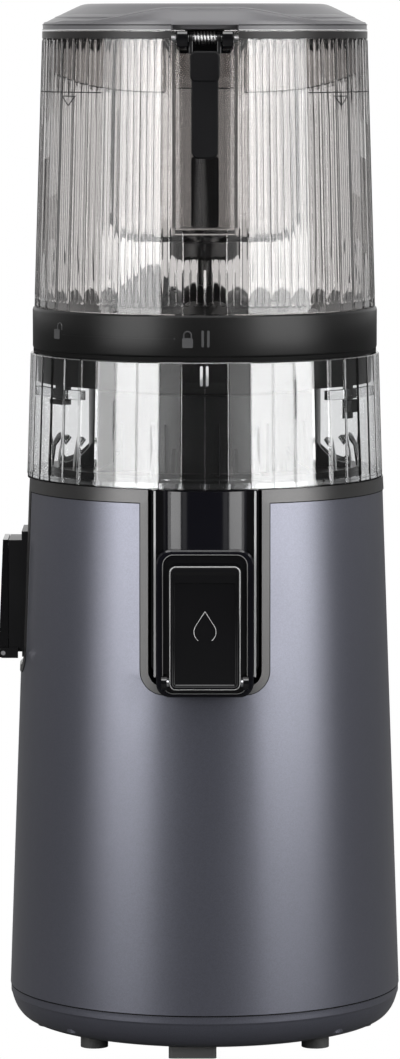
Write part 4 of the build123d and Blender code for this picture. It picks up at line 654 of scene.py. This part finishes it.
lidOuter, lidInner = lidSkins(lidSize)
lidFoot = np.stack([lidOuter[:, -1], lidInner[:, -1]], 1)
sealRing = softLoop([(61.8, 440.9), (65.5, 440.9), (65.5, 446.0), (61.8, 447.5)], 0.3, 3)
armArc = circleAt(hinge["y"], hinge["z"], hinge["radius"], fullTurn(28))[np.r_[7:0:-1, 27:13:-1]]
armLoop = np.vstack([[(68.5, 440.8), (68.5, 443.0), (74.0, 442.6)], armArc, [(73.2, 438.4), (71.9, 440.8)]])
lidGrids = [(lidOuter, True, False), (lidInner, True, False), (lidFoot, True, False), fullRing(sealRing)]
lidGrids.append(slab(armLoop, -9.0, 9.0, 0.2))
addPiece("lidCover", lidGrids, "lid", "lid_gloss", "lid", sharp=35)

# painted highlight line at the rim's foot and painted shade line along the crease above it: height, lift off the rim,
# radius of the line
rimLines = {"lidRimHighlight": (440.6, 0.1, 0.24, highlightGrey), "lidCreaseShade": (442.75, 0.02, 0.2, shadeAndPrintDark)}
edgeTurn = np.degrees(np.arcsin(lidSize["notchHalf"] / lidSize["radius"]))
lineTurn = np.radians(np.linspace(edgeTurn, 360 - edgeTurn, 300))
for name, (height, lift, line, finish) in rimLines.items():
    ringPath = fromFront(lidSize["radius"] + lift, lineTurn, height)
    addPiece(name, [ringTube(ringPath, line)], "lid", "lid_gloss", finish=finish)

skirt = {"radius": 65.5, "wall": 2.2, "top": 441.0, "frontFoot": 414.2, "rise": 9.0, "gapHalf": 17.0, "bead": 0.28}


def skirtFoot(size, count):
    # angles from one side of the gap to the other, and the lower edge: front height + rise * sin^4 a
    edge = np.arcsin(size["gapHalf"] / size["radius"])
    angle = np.linspace(edge, 2 * np.pi - edge, count)
    return angle, size["frontFoot"] + size["rise"] * np.sin(angle) ** 4


def skirtSkins(size):
    # two walls round the drive axis, each height a share of the way from the lower edge to the top
    angle, low = [values[:, None] for values in skirtFoot(size, 300)]
    height = low + (size["top"] - low) * np.linspace(0, 1, 8)
    return shell(*[fromFront(radius, angle, height) for radius in (size["radius"], size["radius"] - size["wall"])])


addPiece("lidSkirt", skirtSkins(skirt), "lid", "smoky_clear", "lid_skirt", sharp=40)
# painted shade line along the lower edge of the skirt
beadAngle, beadHeight = skirtFoot(skirt, 240)
beadPath = fromFront(skirt["radius"], beadAngle, beadHeight + 0.1)
addPiece("skirtShadeLine", [ringTube(beadPath, skirt["bead"])], "lid", "smoky_clear", finish=shadeAndPrintDark)

# fill line and arrow on each side of the hopper wall
fill = {"height": 414.0, "from": 38.0, "to": 84.0, "line": 0.22, "lift": 0.08,
        "arrowAcross": 58.5, "arrowHalf": 3.6, "arrowTop": 412.3, "arrowLow": 408.3, "narrower": 0.8}


def wallLine(degrees, heights, size):
    # thin tube laid on the hopper wall through angles and heights
    radius = coneRadius(hopper, heights) + size["lift"]
    return ringTube(fromFront(radius, np.radians(degrees), heights), size["line"])


def fillArrow(side, size):
    # triangle that points down: its corners are joined by three straight lines of angle and height
    radius = coneRadius(hopper, size["arrowTop"])
    middle = np.arcsin(size["arrowAcross"] / radius)
    half = np.degrees(size["arrowHalf"] / radius) / np.cos(middle) * size["narrower"]
    middle = side * np.degrees(middle)
    high, low = size["arrowTop"], size["arrowLow"]
    corners = np.array([(middle - half, high), (middle + half, high), (middle, low)])
    share = np.linspace(0, 1, 8)[:, None]
    lines = [corners[at] * (1 - share) + corners[at - 2] * share for at in range(3)]
    return [wallLine(line[:, 0], line[:, 1], size) for line in lines]


fillGrids = []
for side in (-1, 1):
    sweepAngle = side * np.linspace(fill["from"], fill["to"], 60)
    fillGrids += [wallLine(sweepAngle, 0 * sweepAngle + fill["height"], fill)] + fillArrow(side, fill)
addPiece("fillMarks", fillGrids, "hopper", "smoky_clear", finish=shadeAndPrintDark)
print("feed guide and lid made")

bowl = {
    "foot": 246.0, "top": 300.0, "footRadius": 78.1, "topRadius": 76.4, "meanRadius": 77.0, "edgeInset": 0.35,
    "wall": 2.6, "floor": (56.2, 76.6, 246.0, 248.4), "duct": (-71.5, -55.0, 248.4, 273.0), "ductSides": (20.6, 23.0),
    "catch": (74.6, 71.4, 282.3, 286.3), "catchTurns": (60, -60, 180), "catchWidth": 30.0,
}


def bowlSkins(size):
    # outside = taper less the dip of the facets, inside = that less the wall
    steps = np.array([-0.5, -0.3, -0.12, -0.03, 0.0, 0.03, 0.12, 0.3])
    strips = np.arange(facets["count"]) - facets["count"] / 2
    angle = ((strips[:, None] + steps) * 2 * np.pi / facets["count"]).reshape(-1, 1)
    up = np.concatenate([[0, 0.008], np.linspace(0.03, 0.97, 10), [0.992, 1.0]])
    height = size["foot"] + (size["top"] - size["foot"]) * up
    taper = size["footRadius"] + (size["topRadius"] - size["footRadius"]) * up
    face = taper - facetDip(angle, size["meanRadius"])
    outer = face - size["edgeInset"] * ((up == 0) | (up == 1))
    return shell(fromFront(outer, angle, height), fromFront(face - size["wall"], angle, height), True)


def arcBlock(outer, inner, low, high, middle, width, count=24):
    # curved block round the drive axis between two radii and two heights, its angle from the front
    angle = np.radians(np.linspace(middle - width / 2, middle + width / 2, count))[:, None]
    return capped(fromFront(np.array([outer, outer, inner, inner]), angle, np.array([low, high, high, low])))


ductWalls = slabPair(boxLoop(*bowl["duct"]), *bowl["ductSides"], 0.2)
catches = [arcBlock(*bowl["catch"], turn, bowl["catchWidth"]) for turn in bowl["catchTurns"]]
bowlGrids = bowlSkins(bowl) + ductWalls + catches + [fullRing(boxLoop(*bowl["floor"]))]
addPiece("juiceBowl", bowlGrids, "chamber", "clear_bowl", "juice_bowl", sharp=16)

# curved fins round the foot of the strainer, each with a painted highlight bead in its bend
fins = {"outer": 66.5, "low": 250.5, "high": 265.0, "half": 0.45, "reach": 4.6, "blade": 1.2,
        "bead": 0.5, "beadProud": 0.1, "beadDeep": 0.35, "turns": (57, 70, 83, 277, 290, 303)}


def finBlades(size, front, back, half):
    # outline between two quarter ellipses, (outer - inset - reach (1 - cos a), low + (height - inset) sin a),
    # stood up along a radius at each turn and pushed to both sides of it
    a = np.linspace(0, np.pi / 2, 14)
    bends = [np.stack([size["outer"] - inset - size["reach"] * (1 - np.cos(a)),
                       size["low"] + (size["high"] - size["low"] - inset) * np.sin(a)]) for inset in (front, back)]
    reach, up = np.concatenate([bends[0], bends[1][:, ::-1]], 1)
    grids = []
    for turn in np.radians(size["turns"]):
        aside = np.array([np.cos(turn), np.sin(turn), 0])
        grids.append(capped([fromFront(reach, turn, up) + side * half * aside for side in (-1, 1)]))
    return grids


finGrids = finBlades(fins, 0.0, fins["blade"], fins["half"])
addPiece("strainerFins", finGrids, "chamber", "black_plastic", finish=finishes["black_gloss"])
beadGrids = finBlades(fins, -fins["beadProud"], fins["beadDeep"], fins["bead"])
addPiece("finHighlights", beadGrids, "chamber", "black_plastic", finish=printAndHighlightLight)

# painted shade lines where short ribs stand inside the bowl, one on each side: turn, lower and upper end
ribs = [(-31.0, 266.0, 283.0), (31.0, 275.0, 292.0)]
ribGrids = [arcBlock(75.0, 73.6, low, high, turn, 0.5, 4) for turn, low, high in ribs]
addPiece("bowlRibShade", ribGrids, "chamber", "clear_bowl", finish=shadeAndPrintDark)

# collar: one outline of ring, skirt and throat, and twist lugs of (turn, width, lower end) with a catch on each
collar = {"skirt": 71.0, "inner": 69.0, "skirtFoot": 287.3, "lugReach": 73.4, "catchLow": 276.0, "catchHigh": 281.5,
          "profile": [(71.0, 300.35), (74.4, 300.35), (74.4, 302.0), (74.9, 302.0), (75.3, 302.3), (75.5, 303.0),
                      (75.5, 318.7), (75.3, 319.5), (74.7, 320.0), (71.5, 320.0), (47.2, 313.0), (47.2, 285.0),
                      (49.4, 285.0), (49.4, 311.0), (69.0, 311.0), (69.0, 287.3), (71.0, 287.3)],
          "lugs": [(-59.2, 8.0, 279.5), (60.0, 4.5, 273.2), (180.0, 24.0, 274.0)]}
collarGrids = [fullRing(collar["profile"], 240)]
for turn, width, low in collar["lugs"]:
    collarGrids += [arcBlock(collar["skirt"], collar["inner"], low, collar["skirtFoot"] + 0.2, turn, width),
                    arcBlock(collar["lugReach"], collar["inner"] + 1, max(low, collar["catchLow"]), collar["catchHigh"],
                             turn, width)]
addPiece("hopperCollar", collarGrids, "hopper", "collar_satin", "hopper_collar", sharp=40)

# spout: rounded neck, raised frame on its plate and a painted highlight strip (rail) on each side; the plate, the
# frame's hole and a rail are (half width, low, high, corner)
spout = {"neckTurn": 15.0, "neckHalf": 20.0, "neckFront": 84.5, "neckBack": 72.0, "neckEnds": (219.5, 245.6),
         "plate": (20.75, 158.0, 221.0, 6.0), "plateFront": 84.8, "hole": (18.0, 159.6, 219.0, 4.5),
         "frameFront": 86.0, "frameBevel": 0.7, "frameHighlightLine": 0.22, "rail": (0.45, 166.0, 245.7, 0.4),
         "railAcross": 21.4, "railDepths": (78.8, 80.4)}


def neck(size, count=61):
    # upright prism, flat in the middle and rounder outwards: the face turns by neckTurn (x / 10)^2 degrees, and its
    # depth is the running sum of the tangent of that angle
    x = np.linspace(0, size["neckHalf"], count)
    slope = np.tan(np.radians(size["neckTurn"] * (x / 10) ** 2))
    fall = np.concatenate([[0], np.cumsum((slope[1:] + slope[:-1]) / 2 * np.diff(x))])
    x, fall = np.concatenate([-x[:0:-1], x]), np.concatenate([fall[:0:-1], fall])
    back = [(size["neckHalf"], -size["neckBack"]), (-size["neckHalf"], -size["neckBack"])]
    ring = np.concatenate([np.stack([x, fall - size["neckFront"]], 1), back])
    return capped([np.insert(ring, 2, height, 1) for height in size["neckEnds"]])


def framePlate(hole, edge, back, front, bevel):
    # flat frame between a hole and an outer edge, eased in front
    levels = [(hole, front), (shrunk(edge, bevel), front), (edge, front - bevel), (edge, back), (hole, back)]
    return np.array([atFront(loop, depth) for loop, depth in levels]), True, True


plateEdge, frameHole = roundedBox(*spout["plate"], 8), roundedBox(*spout["hole"], 8)
frameGrid = framePlate(frameHole, plateEdge, spout["plateFront"], spout["frameFront"], spout["frameBevel"])
addPiece("spoutNeck", [neck(spout), frameGrid], "chamber", "black_gloss", finish=neckBlack, sharp=25)
rails = [frontPlate(roundedBox(*spout["rail"], middle=side * spout["railAcross"]), *spout["railDepths"])
         for side in (-1, 1)]
addPiece("spoutRailHighlights", rails, "chamber", "clear_bowl", finish=highlightAndPrintGrey)
# painted highlight line round the frame's hole
frameEdge = tube(atFront(frameHole, spout["frameFront"] - 0.1), spout["frameHighlightLine"], 6, True)
addPiece("frameHighlightLine", [frameEdge], "chamber", "black_gloss", finish=frameHighlightGrey)

# painted shade: dark rings filling the gaps above and below the bowl
gaps = {"collarGapShade": ("hopper", (73.6, 75.2, 300.35, 302.1)), "bowlGapShade": ("base_unit", (76.0, 77.9, 245.3, 245.95))}
for name, (body, box) in gaps.items():
    addPiece(name, [fullRing(boxLoop(*box), 220)], body, "black_plastic", finish=paintedShadeBlack, sharp=40)

# spout cap: steps of (inset of the sides and foot, inset of the top, depth from the front)
cap = {"half": 15.4, "low": 161.5, "high": 215.0, "front": 91.5, "corner": 3.0, "sunk": 1.2,
       "steps": [(0, 0, 6.0), (0, 0, 1.1), (0.35, 0.35, 0.35), (0.9, 0.9, 0), (1.5, 3.2, 0.05), (1.8, 3.9, 0.6),
                 (2.2, 7.3, 0.65), (2.6, 7.8, 1.2)],
       "lineInset": 0.55, "lineSunk": 0.25, "line": 0.17}


def capLevels(size):
    # rounded rectangles of growing inset: edge, rim, ledge, step, panel
    rings = []
    for inset, topInset, depth in size["steps"]:
        low, high = size["low"] + inset, size["high"] - topInset
        corner = max(size["corner"] - inset, 0.6)
        rings.append(atFront(roundedBox(size["half"] - inset, low, high, corner, 8), size["front"] - depth))
    return rings


addPiece("spoutCap", [capped(capLevels(cap))], "juice_cap", "black_gloss", "juice_cap", sharp=25)
# painted highlight line just inside the cap's edge
inset = cap["lineInset"]
capEdge = roundedBox(cap["half"] - inset, cap["low"] + inset, cap["high"] - inset, cap["corner"] - 0.5, 8)
capLine = tube(atFront(capEdge, cap["front"] - cap["lineSunk"]), cap["line"], 6, True)
addPiece("capEdgeHighlight", [capLine], "juice_cap", "black_gloss", finish=highlightAndPrintGrey)

drop = {"bottom": 181.9, "apex": 195.3, "half": 4.7, "line": 0.14, "open": 38.0}


def dropPath(size, side):
    # half a drop: an arc about its round belly from near the bottom to where the straight side leaves for the tip
    middle = size["bottom"] + size["half"]
    lean = np.arcsin(size["half"] / (size["apex"] - middle))
    angle = np.linspace(np.radians(size["open"]) - np.pi / 2, lean, 24)
    belly = np.stack([side * size["half"] * np.cos(angle), middle + size["half"] * np.sin(angle)], 1)
    return atFront(np.vstack([belly, (0, size["apex"])]), cap["front"] - cap["sunk"])


dropGrids = [tube(dropPath(drop, side), drop["line"], 6) for side in (-1, 1)]
addPiece("dropMark", dropGrids, "juice_cap", "black_gloss", finish=highlightAndPrintGrey)
print("bowl and spout cap made")

# painted shade line in the seam round the notch and under the ring of the body
bodyLow, bodyHigh = boxOf("body_shell")
seams = {"foot": bodyLow[2], "top": bodyHigh[2], "footRadius": 86.2, "topRadius": 78.3, "proud": 0.08, "line": 0.34,
         "half": 27.6, "notchFoot": 158.4, "corner": 10.0, "ringLow": 240.0, "pulpHalf": 20.6}


def seamTube(loop, lift, line):
    # outline laid on the tapering body: depth = sqrt(radius^2 - across^2) at each height
    radius = coneRadius(seams, np.minimum(loop[:, 1], seams["top"])) + lift
    depth = np.sqrt(np.maximum(radius ** 2 - loop[:, 0] ** 2, 1.0))
    return tube(np.stack([loop[:, 0], -depth, loop[:, 1]], -1), line)


notchTurn, pulpTurn = np.degrees(np.arcsin(np.array([seams["half"], seams["pulpHalf"]]) / seams["topRadius"]))
notchLine = cupLine(seams["half"], seams["notchFoot"], seams["ringLow"], seams["corner"])
seamGrids = [seamTube(notchLine, seams["proud"], seams["line"])]
for start, end in ((notchTurn, 270 - pulpTurn), (270 + pulpTurn, 360 - notchTurn)):
    arc = fromFront(seams["topRadius"] + seams["proud"], np.radians(np.linspace(start, end, 200)), seams["ringLow"])
    seamGrids.append(ringTube(arc, seams["line"]))
addPiece("trimSeamShade", seamGrids, "base_unit", "trim_satin", finish=paintedShadeBlack)

# rounded foot of the body and a painted shade ring in the seam above it
foot = {"profile": [(75.5, 5.0), (78.6, 5.9), (81.2, 7.6), (83.5, 10.6), (85.0, 14.2), (85.75, 17.4), (85.95, 20.0)],
        "inside": [(85.6, 20.0), (85.6, 17.0), (82.4, 9.6), (75.5, 5.05)], "seam": (84.6, 85.75, 19.9, 20.7)}


def smoothLine(points, count):
    # curve through points: cubic between each two, (2s^3 - 3s^2 + 1) a + (s^3 - 2s^2 + s) u + (3s^2 - 2s^3) b +
    # (s^3 - s^2) v, with u and v the slopes at a and b
    points = np.array(points, float)
    t = np.linspace(0, len(points) - 1, count)
    index = np.clip(t.astype(int), 0, len(points) - 2)
    s = (t - index)[:, None]
    slope = np.gradient(points, axis=0)
    a, b, u, v = points[index], points[index + 1], slope[index], slope[index + 1]
    return ((2 * s ** 3 - 3 * s ** 2 + 1) * a + (s ** 3 - 2 * s ** 2 + s) * u
            + (3 * s ** 2 - 2 * s ** 3) * b + (s ** 3 - s ** 2) * v)


footLoop = np.concatenate([smoothLine(foot["profile"], 26), foot["inside"]])
addPiece("footRound", [fullRing(footLoop, 220)], "base_unit", "body_satin", sharp=40)
footGap = [fullRing(boxLoop(*foot["seam"]), 220)]
addPiece("footSeamShade", footGap, "base_unit", "body_satin", finish=paintedShadeBlack, sharp=40)
print("seams and foot made")

# marks: plates of (half width, low, high, corner, steps, across) and the shackles' (middle, low end) on the collar for
# two bars, the shut and the open padlock, a hair line beside them, and two bars on the bowl
marks = {"radius": 75.5, "lift": 0.1,
         "plates": [(0.55, 306.5, 313.6, 0.495, 4, -0.95), (0.55, 306.5, 313.6, 0.495, 4, 1.45),
                    (2.3, 306.2, 310.4, 0.5, 4, -7.4), (2.3, 308.0, 312.2, 0.5, 4, -76.0)],
         "shackles": [(-7.4, 310.2), (-73.4, 312.0)], "wire": 0.3, "wireHalf": 1.6, "wireRise": 1.4, "wireLift": 0.05,
         "hair": (-71.0, -13.0, 309.9, 310.15), "hairLift": 0.06,
         "bowlRadius": 76.45, "bowlLift": 0.08, "bowlPlates": [(0.6, 290.0, 298.6, 0.54, 4, x) for x in (-1.5, 0.95)]}


def shackle(size, middle, low):
    # upside-down U of wire on the wall: (middle + r cos a, low + rise + r sin a) between two upright ends
    half = size["wireHalf"]
    bow = circleAt(middle, low + size["wireRise"], half, np.linspace(np.pi, 0, 12))
    loop = np.vstack([(middle - half, low), bow, (middle + half, low)])
    return tube(onWall(loop, size["radius"], size["wireLift"]), size["wire"], 6)


start, end, low, high = marks["hair"]
hairAcross = np.linspace(start, end, 40)
hairLoop = np.stack([np.concatenate([hairAcross, hairAcross[::-1]]), np.repeat([low, high], 40)], 1)
markGrids = [wallPlate(roundedBox(*box), marks["radius"], marks["lift"]) for box in marks["plates"]]
markGrids += [shackle(marks, *place) for place in marks["shackles"]]
markGrids.append(wallPlate(hairLoop, marks["radius"], marks["hairLift"]))
addPiece("collarMarks", markGrids, "hopper", "collar_satin", finish=markGrey)
bowlBars = [wallPlate(roundedBox(*box), marks["bowlRadius"], marks["bowlLift"]) for box in marks["bowlPlates"]]
addPiece("bowlMarks", bowlBars, "chamber", "clear_bowl", finish=printAndHighlightLight)

# stage: brightness is a share of white; the strip is what clear parts let through
stage = {"floorHalf": 40.0, "paper": 0.05, "dim": 0.12, "stripInner": 0.3, "stripOuter": 0.95,
         "skyInner": 0.96, "skyOuter": 0.72, "backPower": 1.0, "frontShade": 0.02, "turnOver": 0.35}


def viewRays(tree):
    # 1 for rays from the camera, and 1 for those or for rays let through clear parts
    looked = addNode(tree, "LightPath", {}, "Is Camera Ray")
    passed = addNode(tree, "LightPath", {}, "Is Transmission Ray")
    return looked, mathNode(tree, "MAXIMUM", looked, passed)


u, v = np.meshgrid(*[np.linspace(-stage["floorHalf"], stage["floorHalf"], 5)] * 2, indexing="ij")
floor = buildPiece("paleFloor", [(np.stack([u, v, 0 * u], -1) / mm, False, False)], 60)
floorFinish, tree, shader = newMaterial("palePaper")
surfaceDetail(tree, shader, 300.0, 0.05, (0.7, 0.8), 3.0, (stage["paper"],) * 3, 0.01)
# the paper is burnt out to white where it is looked at; through clear parts it is bright only in a strip behind the
# object: |across| / depth decides
looked, seen = viewRays(tree)
place = addNode(tree, "TexCoord", {}, "Object")
across, away = [addNode(tree, "SeparateXYZ", {"Vector": place}, axis) for axis in "XY"]
ratio = mathNode(tree, "DIVIDE", mathNode(tree, "ABSOLUTE", across), mathNode(tree, "MAXIMUM", away, 0.02))
strip = rangeNode(tree, ratio, (stage["stripInner"], stage["stripOuter"]), (1.0, stage["dim"]))
glow = addNode(tree, "Emission", {"Strength": mathNode(tree, "MAXIMUM", strip, looked)})
paper = addNode(tree, "MixShader", {0: seen, 1: shader.outputs["BSDF"], 2: glow})
feedNode(tree, tree.nodes["Material Output"], {"Surface": paper})
floor.data.materials.append(floorFinish)

studio = {
    "distance": 1.35, "height": 1.5, "middle": 0.8,
    # each side has three upright panels: degrees from the front, width in metres, brightness
    "leftPanels": [(-22.0, 0.22, 1.0), (-46.0, 0.74, 9.0), (-67.0, 0.2, 4.0)],
    "rightPanels": [(22.0, 0.22, 1.1), (51.0, 0.98, 9.0), (76.0, 0.2, 3.0)],
    # place, target, width, height and power of the lamp above
    "top": ((0, -0.7, 1.7), (0, 0, 0.3), 1.4, 0.9, 26.0),
}


def areaLight(name, place, target, width, height, power):
    # flat lamp turned towards its target
    lamp = bpy.data.lights.new(name, "AREA")
    lamp.shape, lamp.size, lamp.size_y, lamp.energy = "RECTANGLE", width, height, power
    holder = bpy.data.objects.new(name, lamp)
    bpy.context.scene.collection.objects.link(holder)
    holder.location = place
    holder.rotation_euler = (Vector(target) - Vector(place)).to_track_quat("-Z", "Y").to_euler()


for label in ("leftPanels", "rightPanels"):
    for number, (degrees, width, brightness) in enumerate(studio[label]):
        # power of a flat lamp = brightness * pi * its area
        power = brightness * np.pi * width * studio["height"]
        place = fromFront(studio["distance"], np.radians(degrees), studio["middle"])
        areaLight(label + str(number), place, (0, 0, studio["middle"]), width, studio["height"], power)
areaLight("topBox", *studio["top"])

# surroundings: white to the camera, through clear parts white straight behind and dark towards the sides, and to
# all other rays bright behind the object and dark in front
world = bpy.data.worlds.new("studioWorld")
bpy.context.scene.world = world
world.use_nodes = True
tree = world.node_tree
looked, seen = viewRays(tree)
ahead = addNode(tree, "SeparateXYZ", {"Vector": addNode(tree, "TexCoord", {}, "Generated")}, "Y")
over = stage["turnOver"]
lit = rangeNode(tree, ahead, (-over, over), (stage["frontShade"], stage["backPower"]))
through = rangeNode(tree, ahead, (stage["skyOuter"], stage["skyInner"]), (stage["dim"], 1.0))
strength = addNode(tree, "Mix", {0: seen, 2: lit, 3: mathNode(tree, "MAXIMUM", through, looked)})
feedNode(tree, tree.nodes["Background"], {"Strength": strength, "Color": (1, 1, 1, 1)})
bpy.context.scene.view_settings.view_transform = "Standard"

eye = {"x": -2.1, "y": -2250.0, "z": 443.95, "down": 5.65, "lens": 174.39, "sensor": 36.0}
cameraData = bpy.data.cameras.new("viewCamera")
cameraData.lens, cameraData.sensor_width = eye["lens"], eye["sensor"]
camera = bpy.data.objects.new("viewCamera", cameraData)
camera.location = (eye["x"] * mm, eye["y"] * mm, eye["z"] * mm)
camera.rotation_euler = (np.radians(90 - eye["down"]), 0, 0)
bpy.context.scene.collection.objects.link(camera)
bpy.context.scene.camera = camera
print("stage, light and camera set")
